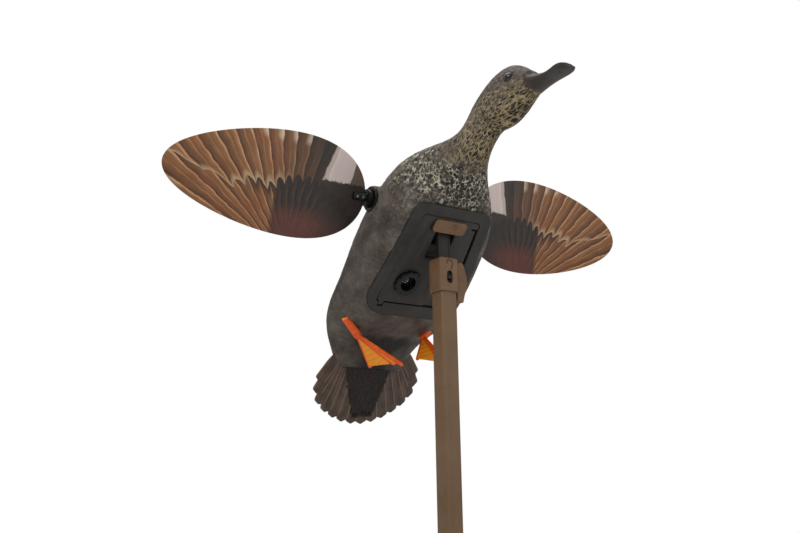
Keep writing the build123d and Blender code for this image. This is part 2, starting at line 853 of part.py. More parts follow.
rivet_height = cap_bottom + 8.0
lever_pin_place = (16.8, cap_top - 8.0)
lever_half = 7.0
lever_skin = 0.7            # closes the lever over the ends of its pin
ear_half = 2.6
ear_radius = 3.4
lever_pin_radius = 1.5
slot_height = 20.6          # keyhole's middle below the cap's top
slot_size = (7.0, 13.0)
button_tip_radius = 2.4
button_travel = 3.4


def pole_tube():
    tube = square_tube_prism(pole_side, pole_corner, 0, pole_length)
    tube -= square_tube_prism(tube_bore, pole_corner - pole_wall, -1, pole_length + 1)
    height = button_hole_height
    tube -= rod((0, 0, height), (pole_side, 0, height), button_hole_radius)
    tube -= rod((-pole_side, 0, rivet_height), (0, 0, rivet_height), 1.6)
    z = cap_top - slot_height
    tube -= box((0, pole_side), (-slot_size[0] / 2, slot_size[0] / 2), (z - slot_size[1] / 2, z + slot_size[1] / 2))
    return tube


def pole_cap():
    cap = square_tube_prism(cap_side, cap_corner, cap_bottom, cap_top)
    cap = fillet(cap.faces().sort_by(Axis.Z)[-1].edges(), cap_top_round)
    cap -= square_tube_prism(pole_side, pole_corner, cap_bottom - 1, pole_length)
    mouth = plug_side + 0.8
    cap -= box((-mouth / 2, mouth / 2), (-mouth / 2, mouth / 2), (pole_length - 1, cap_top + 1))
    y_pin, z_pin = lever_pin_place
    cap += box((-ear_half, ear_half), (cap_side / 2 - 0.5, y_pin), (z_pin - ear_radius, z_pin + ear_radius))
    cap += rod((-ear_half, y_pin, z_pin), (ear_half, y_pin, z_pin), ear_radius)
    cap -= rod((-cap_side, y_pin, z_pin), (cap_side, y_pin, z_pin), lever_pin_radius)
    cap -= rod((-cap_side, 0, rivet_height), (0, 0, rivet_height), 1.6)
    z = cap_top - slot_height
    slot = box((0, cap_side), (-slot_size[0] / 2, slot_size[0] / 2), (z - slot_size[1] / 2, z + slot_size[1] / 2))
    cap -= fillet(slot.edges().filter_by(Axis.X), slot_size[0] / 2 - 0.2)
    return cap


def cap_rivet():
    bore = tube_bore / 2
    shank = rod((-cap_side / 2 - 0.1, 0, rivet_height), (-bore, 0, rivet_height), 1.6)
    return shank + rod((-cap_side / 2 - 1.2, 0, rivet_height), (-cap_side / 2, 0, rivet_height), 3.0)


def release_lever():
    """A curved flip lever beside the cap, drawn in the YZ plane."""
    y_pin, z_pin = lever_pin_place
    near = cap_side / 2 + loose_fit
    low = cap_bottom - 8.5
    turn = y_pin - near
    shoulder = turn * math.sqrt(0.5)
    outline = [
        Line((near, z_pin), (near, low + 1)),
        Line((near, low + 1), (near + 7.3, low - 0.5)),
        Spline((near + 7.3, low - 0.5), (near + 10.0, low + 10), (near + 12.7, low + 21), (near + 10.6, low + 32),
               (y_pin + shoulder, z_pin + shoulder)),
        ThreePointArc((y_pin + shoulder, z_pin + shoulder), (y_pin - shoulder, z_pin + shoulder), (near, z_pin)),
    ]
    lever = extrude(Plane.YZ * make_face(outline), lever_half, both=True)
    room = ear_radius + loose_fit + 0.3
    half = ear_half + loose_fit
    slot = rod((-half, y_pin, z_pin), (half, y_pin, z_pin), room)
    slot += box((-half, half), (0, y_pin), (z_pin - room, z_pin + room))
    slot += box((-half, half), (0, cap_side), (z_pin, z_pin + 20))
    lever -= slot
    end = lever_half - lever_skin
    lever -= rod((-end, y_pin, z_pin), (end, y_pin, z_pin), lever_pin_radius + running_fit)
    return lever


def lever_pin():
    y_pin, z_pin = lever_pin_place
    end = lever_half - lever_skin - 0.1
    return rod((-end, y_pin, z_pin), (end, y_pin, z_pin), lever_pin_radius)


def support_peg():
    half = plug_side / 2
    plug_top = pole_length - 0.5
    peg = box((-half, half), (-half, half), (plug_top - peg_depth, plug_top))
    peg = fillet(peg.edges().filter_by(Axis.Z), 1.2)
    peg += box((-peg_thickness / 2, peg_thickness / 2), (-peg_width / 2, peg_width / 2), (plug_top, pivot_height))
    for side in (-1, 1):
        y = sorted((side * peg_width / 2, side * (peg_width / 2 - 1.6)))
        peg += box((-peg_thickness / 2 - 0.6, peg_thickness / 2 + 0.6), y, (plug_top, pivot_height))
    peg += rod((0, -peg_width / 2, pivot_height), (0, peg_width / 2, pivot_height), peg_eye_radius)
    peg -= rod((0, -peg_width, pivot_height), (0, peg_width, pivot_height), pivot_pin_radius + running_fit)
    z = cap_top - slot_height
    peg -= rod((-half + 2, 0, z), (half + 1, 0, z), button_tip_radius + loose_fit)
    peg -= rod((-half + 2, 0, z), (half - 1.5, 0, z), button_tip_radius + 1.6)
    return peg


def peg_button():
    half = plug_side / 2
    z = cap_top - slot_height
    tip_end = cap_side / 2 - 0.8
    button = rod((half - 4.5, 0, z), (tip_end, 0, z), button_tip_radius)
    button += rod((half - 4.5, 0, z), (half - 1.9, 0, z), button_tip_radius + 1.2)
    return fillet(button.edges().sort_by(Axis.X)[-1:], 1.2)


def button_spring():
    """Short coil that pushes the button out."""
    half = plug_side / 2
    z = cap_top - slot_height
    start = -half + 2.0
    wire = 0.45
    length = (half - 4.5) - start - 2 * wire
    coil = Helix(pitch=length / 4, height=length, radius=button_tip_radius)
    profile = Plane(origin=coil @ 0, z_dir=coil % 0) * Circle(wire)
    spring = sweep(profile, path=coil, is_frenet=True)
    return Pos(start + wire, 0, z) * Rot(0, 90, 0) * spring


nodes = {
    "pole_tube": (stake, pole_tube),
    "pole_cap": (stake, pole_cap),
    "cap_rivet": (stake, cap_rivet),
    "lever_pin": (stake, lever_pin),
    "release_lever": (stake, release_lever),
    "support_peg": (stake, support_peg),
    "peg_button": (stake, peg_button),
    "button_spring": (stake, button_spring),
    "chassis_door": (bird, chassis_door),
    "tilt_pivot_pin": (bird, tilt_pivot_pin),
    "pivot_washers": (bird, pivot_washers),
    "access_cover": (bird, access_cover),
    "cover_screw": (bird, cover_screw),
    "door_latch": (bird, door_latch),
    "switch_bezel": (bird, switch_bezel),
    "switch_body": (bird, switch_body),
    "power_button": (bird, power_button),
    "battery_holder": (bird, battery_holder),
    "battery_cells": (bird, battery_cells),
    "battery_contacts": (bird, battery_contacts),
    "control_board": (bird, control_board),
    "board_parts": (bird, board_parts),
    "board_screws": (bird, board_screws),
    "body_shell": (bird, body_shell),
    "tail_fan": (bird, tail_fan),
    "base_frame": (bird, base_frame),
    "frame_screws": (bird, frame_screws),
    "hinge_pins": (bird, hinge_pins),
    "motor_bracket": (bird, motor_bracket),
    "bracket_screws": (bird, bracket_screws),
    "motor": (bird, motor),
    "motor_strap": (bird, motor_strap),
    "drive_shaft": (bird, drive_shaft),
}
for name, side in (("left", 1), ("right", -1)):
    for piece, make in (("eye", eye), ("foot", foot), ("shaft_collar", shaft_collar), ("hub", hub),
                        ("hub_magnet", hub_magnet), ("wing", wing), ("wing_post", wing_post),
                        ("wing_rivets", wing_rivets)):
        nodes[f"{name}_{piece}"] = (bird, lambda make=make, side=side: make(side))

for name, (place, make) in nodes.items():
    export_step(place * make(), f"parts/{name}.step")
    print(name)
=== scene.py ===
import json
import math

import bpy
import numpy as np
from mathutils import Matrix, Vector
from mathutils.bvhtree import BVHTree

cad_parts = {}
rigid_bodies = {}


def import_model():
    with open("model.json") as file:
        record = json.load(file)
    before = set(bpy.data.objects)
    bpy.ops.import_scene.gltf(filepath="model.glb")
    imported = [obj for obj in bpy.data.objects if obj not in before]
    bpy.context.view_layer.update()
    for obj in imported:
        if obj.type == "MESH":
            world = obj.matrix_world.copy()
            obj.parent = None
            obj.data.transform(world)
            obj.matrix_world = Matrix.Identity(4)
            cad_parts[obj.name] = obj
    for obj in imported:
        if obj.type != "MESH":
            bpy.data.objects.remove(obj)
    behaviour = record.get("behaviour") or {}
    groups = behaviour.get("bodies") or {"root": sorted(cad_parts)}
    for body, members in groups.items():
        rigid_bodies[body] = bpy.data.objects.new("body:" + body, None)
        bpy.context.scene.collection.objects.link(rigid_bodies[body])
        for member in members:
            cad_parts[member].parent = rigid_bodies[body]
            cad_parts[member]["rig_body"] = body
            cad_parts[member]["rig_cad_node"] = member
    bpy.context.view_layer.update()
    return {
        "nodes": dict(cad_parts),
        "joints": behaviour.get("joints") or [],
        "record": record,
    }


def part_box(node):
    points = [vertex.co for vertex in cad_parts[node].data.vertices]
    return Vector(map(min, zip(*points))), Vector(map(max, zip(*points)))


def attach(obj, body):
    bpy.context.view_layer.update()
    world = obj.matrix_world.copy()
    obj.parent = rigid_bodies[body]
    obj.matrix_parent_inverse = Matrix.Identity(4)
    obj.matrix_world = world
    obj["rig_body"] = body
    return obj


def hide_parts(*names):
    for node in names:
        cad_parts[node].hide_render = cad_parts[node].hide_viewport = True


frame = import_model()
cadNodes = frame["nodes"]
jointByName = {joint["name"]: joint for joint in frame["joints"]}
print("frame loaded,", len(cadNodes), "nodes")


# ---- where the bird sits: its own axes, in millimetres, on the tilt pivot
pivot = Vector(jointByName["body_tilt"]["pos_m"])
birdUp = Vector(jointByName["switch_press"]["axis"]).normalized()
birdAhead = -Vector(jointByName["latch_slide"]["axis"]).normalized()
birdLeft = Vector((0, 1, 0))
shaftPlace = Vector(jointByName["wing_spin"]["pos_m"])
wingSet = math.radians(28.45)       # how far the blades are turned up from the bird's own line
birdPitch = math.atan2(birdAhead.z, birdAhead.x)


def birdPoint(x, y, z):
    return pivot + (birdAhead * x + birdLeft * y + birdUp * z) / 1000


def inBird(points):
    away = (points - np.array(pivot)) * 1000
    return away @ np.array(birdAhead), away[:, 1], away @ np.array(birdUp)


def smoothStep(low, high, value):
    t = np.clip((value - low) / (high - low), 0, 1)
    return t * t * (3 - 2 * t)


# ---- small helpers used by every piece
def linearColour(hexText, alpha=1.0):
    parts = [int(hexText[i:i + 2], 16) / 255 for i in (1, 3, 5)]
    return tuple(p / 12.92 if p <= 0.04045 else ((p + 0.055) / 1.055) ** 2.4 for p in parts) + (alpha,)


def newMaterial(name):
    material = bpy.data.materials.new(name)
    material.use_nodes = True
    tree = material.node_tree
    return material, tree, tree.nodes["Principled BSDF"]


def addNode(tree, kind, inputs=(), stops=None, **settings):
    node = tree.nodes.new("ShaderNode" + kind)
    for name, value in settings.items():
        setattr(node, name, value)
    if stops:
        ramp = node.color_ramp
        while len(ramp.elements) < len(stops):
            ramp.elements.new(0.5)
        for element, (place, shade) in zip(ramp.elements, stops):
            element.position = place
            element.color = linearColour(shade) if isinstance(shade, str) else (shade, shade, shade, 1)
    pairs = inputs.items() if isinstance(inputs, dict) else enumerate(inputs)
    for socket, value in pairs:
        if isinstance(value, bpy.types.NodeSocket):
            tree.links.new(value, node.inputs[socket])
        elif value is not None:
            node.inputs[socket].default_value = value
    return node.outputs[0]


def deselectAll():
    for o in bpy.context.selected_objects:
        o.select_set(False)


def makeActive(obj):
    deselectAll()
    obj.select_set(True)
    bpy.context.view_layer.objects.active = obj


def applyModifiers(obj):
    makeActive(obj)
    for modifier in list(obj.modifiers):
        bpy.ops.object.modifier_apply(modifier=modifier.name)


def placeInMesh(obj):
    bpy.context.view_layer.update()
    obj.data.transform(obj.matrix_world)
    obj.matrix_world = Matrix.Identity(4)


def vertexPlaces(obj):
    places = np.zeros(len(obj.data.vertices) * 3)
    obj.data.vertices.foreach_get("co", places)
    return places.reshape(-1, 3)


def setVertexPlaces(obj, places):
    obj.data.vertices.foreach_set("co", places.ravel())
    obj.data.update()


def copyNode(node, name):
    piece = cadNodes[node].copy()
    piece.data = cadNodes[node].data.copy()
    piece.name = name
    piece.data.name = name
    piece.parent = None
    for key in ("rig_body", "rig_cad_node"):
        if key in piece:
            del piece[key]
    bpy.context.scene.collection.objects.link(piece)
    makeActive(piece)
    bpy.ops.object.mode_set(mode="EDIT")
    bpy.ops.mesh.select_all(action="SELECT")
    bpy.ops.mesh.remove_doubles(threshold=0.00001)
    bpy.ops.mesh.tris_convert_to_quads(face_threshold=0.02, shape_threshold=0.02)
    bpy.ops.object.mode_set(mode="OBJECT")
    piece.data.materials.clear()
    return piece


def smoothByAngle(obj, degrees=35):
    makeActive(obj)
    bpy.ops.object.shade_smooth_by_angle(angle=math.radians(degrees))


def roundEdges(obj, width, segments=2, degrees=35):
    bevel = obj.modifiers.new("edges", "BEVEL")
    bevel.width = width
    bevel.segments = segments
    bevel.limit_method = "ANGLE"
    bevel.angle_limit = math.radians(degrees)
    bevel.use_clamp_overlap = True
    bevel.harden_normals = False
    applyModifiers(obj)


def finishPiece(obj, material, body, slot, *replaced):
    obj.data.materials.clear()
    obj.data.materials.append(material)
    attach(obj, body)
    if replaced:
        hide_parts(*replaced)


def floatAttribute(obj, name, values):
    attribute = obj.data.attributes.new(name, "FLOAT", "POINT")
    attribute.data.foreach_set("value", values.astype(np.float32))


def joinInto(first, others):
    makeActive(first)
    for other in others:
        other.select_set(True)
    bpy.ops.object.join()
    return first


# ---- materials
# injection-moulded polypropylene with a spark-eroded texture: soft grey sheen, very fine grain
def mouldedPlastic(name, dark, light, rough=0.5, grainMm=0.9, grainDepth=0.12, wearMm=30,
                   shine=0.35):
    material, tree, shader = newMaterial(name)
    place = addNode(tree, "TexCoord").node.outputs["Object"]
    wear = addNode(tree, "TexNoise", {"Vector": place, "Scale": 1000 / wearMm,
                                      "Detail": 5.0, "Roughness": 0.6})
    colour = addNode(tree, "ValToRGB", (wear,), stops=[(0.35, dark), (0.68, light)])
    tree.links.new(colour, shader.inputs["Base Color"])
    grain = addNode(tree, "TexNoise", {"Vector": place, "Scale": 1000 / grainMm, "Detail": 2.0})
    roughness = addNode(tree, "MapRange", (wear, 0.3, 0.7, rough - 0.06, rough + 0.08))
    tree.links.new(roughness, shader.inputs["Roughness"])
    bump = addNode(tree, "Bump", {"Strength": grainDepth, "Distance": 0.0004, "Height": grain})
    tree.links.new(bump, shader.inputs["Normal"])
    shader.inputs["IOR"].default_value = 1.49
    shader.inputs["Specular IOR Level"].default_value = shine
    return material


# zinc-plated and bare steels: fine brushing along one axis
def steelSheet(name, dark, light, rough=0.32, brushMm=0.4):
    material, tree, shader = newMaterial(name)
    place = addNode(tree, "TexCoord").node.outputs["Object"]
    drawn = addNode(tree, "Mapping", {"Vector": place, "Scale": (1000 / brushMm, 60, 1000 / brushMm)})
    brush = addNode(tree, "TexNoise", {"Vector": drawn, "Scale": 1.0, "Detail": 3.0})
    colour = addNode(tree, "ValToRGB", (brush,), stops=[(0.3, dark), (0.7, light)])
    tree.links.new(colour, shader.inputs["Base Color"])
    roughness = addNode(tree, "MapRange", (brush, 0.3, 0.7, rough - 0.08, rough + 0.1))
    tree.links.new(roughness, shader.inputs["Roughness"])
    shader.inputs["Metallic"].default_value = 1.0
    return material


# soft PVC feet: satin, a little light passes through the thin webs, and the thin webs are painted a lighter
# orange as painted glow
def softVinyl():
    material, tree, shader = newMaterial("softOrangeVinyl")
    place = addNode(tree, "TexCoord").node.outputs["Object"]
    thin = addNode(tree, "Attribute", attribute_name="web")
    mottle = addNode(tree, "TexNoise", {"Vector": place, "Scale": 1000 / 9, "Detail": 4.0})
    # painted light: the thinner the web, the lighter its orange, as if lit through, over a random mottle
    thin = addNode(tree, "Math", (thin, 0.75), operation="MULTIPLY")
    mottleAndPaintedGlow = addNode(tree, "Math", (thin, mottle), operation="ADD")
    colour = addNode(tree, "ValToRGB", (mottleAndPaintedGlow,),
                     stops=[(0.3, "#e04a06"), (0.75, "#f96c08"), (1.15 / 1.2, "#ff9d1c")])
    tree.links.new(colour, shader.inputs["Base Color"])
    pores = addNode(tree, "TexNoise", {"Vector": place, "Scale": 1000 / 0.8, "Detail": 2.0})
    bump = addNode(tree, "Bump", {"Strength": 0.08, "Distance": 0.0004, "Height": pores})
    tree.links.new(bump, shader.inputs["Normal"])
    shader.inputs["Roughness"].default_value = 0.42
    shader.inputs["IOR"].default_value = 1.52
    shader.inputs["Subsurface Weight"].default_value = 0.15
    shader.inputs["Subsurface Radius"].default_value = (0.006, 0.003, 0.001)
    shader.inputs["Subsurface Scale"].default_value = 1.0
    return material


# blow-moulded polyethylene, sprayed matt and dry-brushed by hand over its feather relief
def sprayedPlumage():
    material, tree, shader = newMaterial("sprayedPlumage")
    place = addNode(tree, "TexCoord").node.outputs["Object"]
    lay = addNode(tree, "UVMap", uv_map="lay")
    zone = {name: addNode(tree, "Attribute", attribute_name=name)
            for name in ("breast", "head", "crown", "rump", "back", "bill", "raised", "edge")}
    broad = addNode(tree, "TexNoise", {"Vector": place, "Scale": 1000 / 22, "Detail": 5.0, "Roughness": 0.6})
    fine = addNode(tree, "TexNoise", {"Vector": place, "Scale": 1000 / 3.2, "Detail": 4.0, "Roughness": 0.65})
    # wavering of every painted line
    waver = addNode(tree, "TexNoise", {"Vector": place, "Scale": 1000 / 6,
                                       "Detail": 2.0}).node.outputs["Color"]
    shift = addNode(tree, "VectorMath", (waver, (0.5, 0.5, 0.5)), operation="SUBTRACT")
    shift = addNode(tree, "VectorMath", {0: shift, "Scale": 0.004}, operation="SCALE")
    wavy = addNode(tree, "VectorMath", (lay, shift), operation="ADD")

    # flank: grey-brown, finely barred across the body
    flank = addNode(tree, "ValToRGB", (broad,), stops=[(0.34, "#443c37"), (0.5, "#585049"),
                                                       (0.68, "#6e665f")])
    barScale = addNode(tree, "Mapping", {"Vector": wavy, "Scale": (1000 / 7, 1000 / 1.7, 1)})
    bars = addNode(tree, "TexNoise", {"Vector": barScale, "Scale": 1.0, "Detail": 3.0, "Roughness": 0.7})
    barShade = addNode(tree, "ValToRGB", (bars,), stops=[(0.38, "#6d6760"), (0.5, "#b4ada6"),
                                                         (0.64, "#f4efe8")])
    flank = addNode(tree, "MixRGB", (0.3, flank, barShade), blend_type="OVERLAY")

    # breast: near black with broken cream crescents
    crescentScale = addNode(tree, "Mapping", {"Vector": wavy, "Scale": (1000 / 5.2, 1000 / 4.2, 1)})
    cell = addNode(tree, "TexVoronoi", {"Vector": crescentScale, "Scale": 1.0, "Randomness": 0.85},
                   feature="DISTANCE_TO_EDGE")
    crescent = addNode(tree, "MapRange", (cell, 0.04, 0.13, 1.0, 0.0))
    patchy = addNode(tree, "TexNoise", {"Vector": place, "Scale": 1000 / 5, "Detail": 2.0})
    patchy = addNode(tree, "MapRange", (patchy, 0.44, 0.6, 0.0, 1.0))
    crescent = addNode(tree, "Math", (crescent, patchy), operation="MULTIPLY")
    creamShade = addNode(tree, "ValToRGB", (fine,), stops=[(0.35, "#a59a82"), (0.65, "#efe6cd")])
    breast = addNode(tree, "MixRGB", (crescent, linearColour("#1a1815"), creamShade))

    # neck and cheeks: gold-cream hairlines woven along the neck over dark brown
    hairScale = addNode(tree, "Mapping", {"Vector": wavy, "Scale": (1000 / 2.4, 1000 / 7.5, 1)})
    hair = addNode(tree, "TexVoronoi", {"Vector": hairScale, "Scale": 1.0, "Randomness": 1.0},
                   feature="DISTANCE_TO_EDGE")
    hair = addNode(tree, "MapRange", (hair, 0.03, 0.16, 1.0, 0.0))
    hairBreak = addNode(tree, "MapRange", (fine, 0.3, 0.6, 0.35, 1.0))
    hair = addNode(tree, "Math", (hair, hairBreak), operation="MULTIPLY")
    gold = addNode(tree, "ValToRGB", (broad,), stops=[(0.35, "#8f7850"), (0.65, "#c9b386")])
    neck = addNode(tree, "MixRGB", (hair, linearColour("#1d1610"), gold))

    # crown and nape: purple-brown with pale specks
    crown = addNode(tree, "ValToRGB", (fine,), stops=[(0.38, "#33272a"), (0.55, "#55433f"),
                                                      (0.74, "#8a7a6e")])
    # undertail: soot
    rump = addNode(tree, "ValToRGB", (fine,), stops=[(0.35, "#1d1917"), (0.7, "#332c28")])
    # back: warm brown feathers with orange-brown edges
    backBase = addNode(tree, "ValToRGB", (broad,), stops=[(0.35, "#3f332b"), (0.65, "#5d4a3c")])
    back = addNode(tree, "MixRGB", (zone["edge"], backBase, linearColour("#9a6a3c")))
    # bill: smooth slate
    bill = addNode(tree, "ValToRGB", (broad,), stops=[(0.35, "#37322e"), (0.68, "#554e48")])

    colour = flank
    for name, layer in (("back", back), ("breast", breast), ("head", neck), ("crown", crown), ("rump", rump)):
        colour = addNode(tree, "MixRGB", (zone[name], colour, layer))
    brushed = addNode(tree, "Math", (zone["raised"], fine), operation="MULTIPLY")
    brushed = addNode(tree, "MapRange", (brushed, 0.3, 0.62, 0.0, 0.4))
    colour = addNode(tree, "MixRGB", (brushed, colour, linearColour("#a39a8e")))
    # painted shade: the colour is darkened where the relief sinks, in the creases at the feather roots
    paintedCreaseShade = addNode(tree, "MapRange", (zone["raised"], 0.0, 0.3, 0.55, 1.0))
    colour = addNode(tree, "MixRGB", (1.0, colour, paintedCreaseShade), blend_type="MULTIPLY")
    colour = addNode(tree, "MixRGB", (zone["bill"], colour, bill))
    tree.links.new(colour, shader.inputs["Base Color"])

    barbScale = addNode(tree, "Mapping", {"Vector": wavy, "Scale": (1000 / 1.3, 1000 / 6, 1)})
    barbs = addNode(tree, "TexNoise", {"Vector": barbScale, "Scale": 1.0, "Detail": 3.0})
    relief = addNode(tree, "Math", (barbs, addNode(tree, "Math", (hair, zone["head"]), operation="MULTIPLY")),
                     operation="ADD")
    smoothBill = addNode(tree, "MapRange", (zone["bill"], 0.0, 1.0, 1.0, 0.1))
    relief = addNode(tree, "Math", (relief, smoothBill), operation="MULTIPLY")
    bump = addNode(tree, "Bump", {"Strength": 0.5, "Distance": 0.0006, "Height": relief})
    tree.links.new(bump, shader.inputs["Normal"])
    rough = addNode(tree, "MapRange", (zone["bill"], 0.0, 1.0, 0.62, 0.4))
    tree.links.new(rough, shader.inputs["Roughness"])
    shader.inputs["IOR"].default_value = 1.5
    shader.inputs["Specular IOR Level"].default_value = 0.3
    return material


# printed film on aluminium sheet: a lifelike feather print, satin
def printedBlade():
    # where the printed quills meet, and the degrees per feather
    fan = {"span": 148.0, "chord": -75.0, "pitch": 7.3}
    material, tree, shader = newMaterial("printedBlade")
    place = addNode(tree, "TexCoord").node.outputs["Object"]
    turned = addNode(tree, "Mapping", {"Vector": place, "Location": tuple(shaftPlace),
                                       "Rotation": (0, -(birdPitch + wingSet), 0),
                                       "Scale": (0.001, 0.001, 0.001)},
                     vector_type="TEXTURE")
    waver = addNode(tree, "TexNoise", {"Vector": place, "Scale": 1000 / 16,
                                       "Detail": 2.0}).node.outputs["Color"]
    shift = addNode(tree, "VectorMath", (waver, (0.5, 0.5, 0.5)), operation="SUBTRACT")
    shift = addNode(tree, "VectorMath", {0: shift, "Scale": 5.0}, operation="SCALE")
    split = addNode(tree, "SeparateXYZ", (addNode(tree, "VectorMath", (turned, shift),
                                                  operation="ADD"),)).node
    chord = split.outputs["X"]
    span = addNode(tree, "Math", (split.outputs["Y"],), operation="ABSOLUTE")

    up = addNode(tree, "Math", (chord, fan["chord"]), operation="SUBTRACT")
    out = addNode(tree, "Math", (span, fan["span"]), operation="SUBTRACT")
    angle = addNode(tree, "Math", (up, out), operation="ARCTAN2")
    reach = addNode(tree, "Math", (addNode(tree, "Math", (up, 2.0), operation="POWER"),
                                   addNode(tree, "Math", (out, 2.0), operation="POWER")), operation="ADD")
    reach = addNode(tree, "Math", (reach, 0.5), operation="POWER")
    # the edge between the long feathers and the row that covers their roots
    rootEdge = addNode(tree, "ValToRGB", (addNode(tree, "MapRange",
                                                  (angle, math.radians(30), math.radians(95), 0, 1)),),
                       stops=[(0.0, 0.97), (0.1, 0.72), (0.2, 0.52), (0.45, 0.475), (0.58, 0.41),
                              (1.0, 0.46)])
    rootEdge = addNode(tree, "Math", (rootEdge, 170.0), operation="MULTIPLY")
    quill = addNode(tree, "Math", (angle, math.radians(fan["pitch"])), operation="DIVIDE")
    # round covert tips along that edge
    lobe = addNode(tree, "Math", (addNode(tree, "Math", (quill, math.pi), operation="MULTIPLY"),),
                   operation="SINE")
    lobe = addNode(tree, "Math", (addNode(tree, "Math", (lobe,), operation="ABSOLUTE"), 9.0),
                   operation="MULTIPLY")
    past = addNode(tree, "Math", (addNode(tree, "Math", (reach, rootEdge), operation="SUBTRACT"), lobe),
                   operation="SUBTRACT")
    longFeather = addNode(tree, "MapRange", (past, -0.6, 0.6, 0.0, 1.0))
    half = addNode(tree, "MapRange", (longFeather, 0.0, 1.0, 0.5, 0.0))
    across = addNode(tree, "Math", (addNode(tree, "Math", (quill, half), operation="ADD"),),
                     operation="FRACT")

    # one feather: dark at its covered side, warming to a pale free edge
    tone = addNode(tree, "ValToRGB", (across,), stops=[(0.0, "#4a3021"), (0.08, "#6d4a30"), (0.42, "#94683f"),
                                                       (0.5, "#b58a5c"), (0.56, "#8f6440"), (0.84, "#ab7c50"),
                                                       (0.93, "#dcb98c"), (1.0, "#8d6038")])
    streakScale = addNode(tree, "CombineXYZ", (addNode(tree, "Math", (quill, 9.0), operation="MULTIPLY"),
                                               addNode(tree, "Math", (reach, 0.035),
                                                       operation="MULTIPLY"), 0.0))
    streak = addNode(tree, "TexNoise", {"Vector": streakScale, "Scale": 1.0, "Detail": 5.0,
                                        "Roughness": 0.65})
    streakShade = addNode(tree, "ValToRGB", (streak,), stops=[(0.32, "#5a4030"), (0.52, "#9c8672"),
                                                              (0.7, "#e0c8aa")])
    tan = addNode(tree, "MixRGB", (0.55, tone, streakShade), blend_type="OVERLAY")
    rust = addNode(tree, "TexNoise", {"Vector": turned, "Scale": 0.045, "Detail": 3.0})
    rust = addNode(tree, "MapRange", (rust, 0.5, 0.68, 0.0, 0.5))
    tan = addNode(tree, "MixRGB", (rust, tan, linearColour("#8d4b26")))

    # inner half: blackish brown, each feather just readable
    soot = addNode(tree, "ValToRGB", (across,), stops=[(0.0, "#231b18"), (0.5, "#3b2f29"), (0.9, "#4d3f37"),
                                                       (1.0, "#2c2320")])
    sootTop = addNode(tree, "MixRGB", (0.35, soot, streakShade), blend_type="OVERLAY")
    fadeUp = addNode(tree, "MapRange", (span, 122.0, 176.0, 0.0, 1.0))
    fadeLow = addNode(tree, "MapRange", (span, 167.0, 172.0, 0.0, 1.0))
    fade = addNode(tree, "MixRGB", (longFeather, fadeLow, fadeUp))
    colour = addNode(tree, "MixRGB", (fade, sootTop, tan))

    # the coverts round the root are plain black-brown, chestnut towards the leading edge
    nearRoot = addNode(tree, "MapRange", (span, 128.0, 112.0, 0.0, 1.0))
    colour = addNode(tree, "MixRGB", (nearRoot, colour, linearColour("#352c27")))
    covert = addNode(tree, "Math", (addNode(tree, "MapRange", (chord, -18.0, -34.0, 0.0, 1.0)),
                                    addNode(tree, "MapRange", (span, 172.0, 164.0, 0.0, 1.0))),
                     operation="MULTIPLY")
    covert = addNode(tree, "Math", (covert, addNode(tree, "MapRange", (span, 100.0, 128.0, 0.15, 0.85))),
                     operation="MULTIPLY")
    chestnut = addNode(tree, "ValToRGB", (streak,), stops=[(0.35, "#47261f"), (0.55, "#6f3a30"),
                                                           (0.7, "#86604a")])
    colour = addNode(tree, "MixRGB", (covert, colour, chestnut))

    # dark ovals where the covert tips lie on the tan
    oval = addNode(tree, "Math", (addNode(tree, "MapRange", (past, -16.0, -2.0, 0.0, 1.0)),
                                  addNode(tree, "MapRange", (past, -0.6, 0.2, 1.0, 0.0))),
                   operation="MULTIPLY")
    oval = addNode(tree, "Math", (oval, addNode(tree, "MapRange", (span, 204.0, 190.0, 0.0, 0.9))),
                   operation="MULTIPLY")
    colour = addNode(tree, "MixRGB", (oval, colour, linearColour("#2b211d")))
    glint = addNode(tree, "Math", (addNode(tree, "MapRange", (past, -0.3, 0.5, 0.0, 1.0)),
                                   addNode(tree, "MapRange", (past, 0.8, 8.0, 1.0, 0.0))),
                    operation="MULTIPLY")
    glint = addNode(tree, "Math", (glint, addNode(tree, "MapRange", (span, 150.0, 178.0, 0.0, 0.6))),
                    operation="MULTIPLY")
    colour = addNode(tree, "MixRGB", (glint, colour, linearColour("#d8bd97")))

    # white speculum on the trailing side of the root
    outer = addNode(tree, "Math", (addNode(tree, "Math", (chord, -0.297), operation="MULTIPLY"), 122.5),
                    operation="ADD")
    fromOuter = addNode(tree, "Math", (span, outer), operation="SUBTRACT")
    fringe = addNode(tree, "TexNoise", {"Vector": turned, "Scale": 0.7, "Detail": 2.0})
    lower = addNode(tree, "Math", (chord, addNode(tree, "MapRange", (fringe, 0.3, 0.7, 9.0, 12.0))),
                    operation="SUBTRACT")
    inside = addNode(tree, "Math", (addNode(tree, "MapRange", (fromOuter, 0.4, -0.4, 0.0, 1.0)),
                                    addNode(tree, "MapRange", (lower, -0.4, 0.5, 0.0, 1.0))),
                     operation="MULTIPLY")
    white = addNode(tree, "ValToRGB", (addNode(tree, "MapRange", (fromOuter, -9.0, 0.0, 0.0, 1.0)),),
                    stops=[(0.0, "#dccdc8"), (0.42, "#e4d7d3"), (0.5, "#b3a39c"), (0.56, "#d0c3bd"),
                           (0.93, "#c2b2aa"),
                           (1.0, "#6a3f35")])
    white = addNode(tree, "MixRGB", (0.25, white, streakShade), blend_type="SOFT_LIGHT")
    innermost = addNode(tree, "Math", (addNode(tree, "Math", (chord, 0.18), operation="MULTIPLY"), span),
                        operation="ADD")
    innermost = addNode(tree, "MapRange", (innermost, 88.2, 89.2, 1.0, 0.0))
    white = addNode(tree, "MixRGB", (innermost, white, linearColour("#6a5a4e")))
    colour = addNode(tree, "MixRGB", (inside, colour, white))

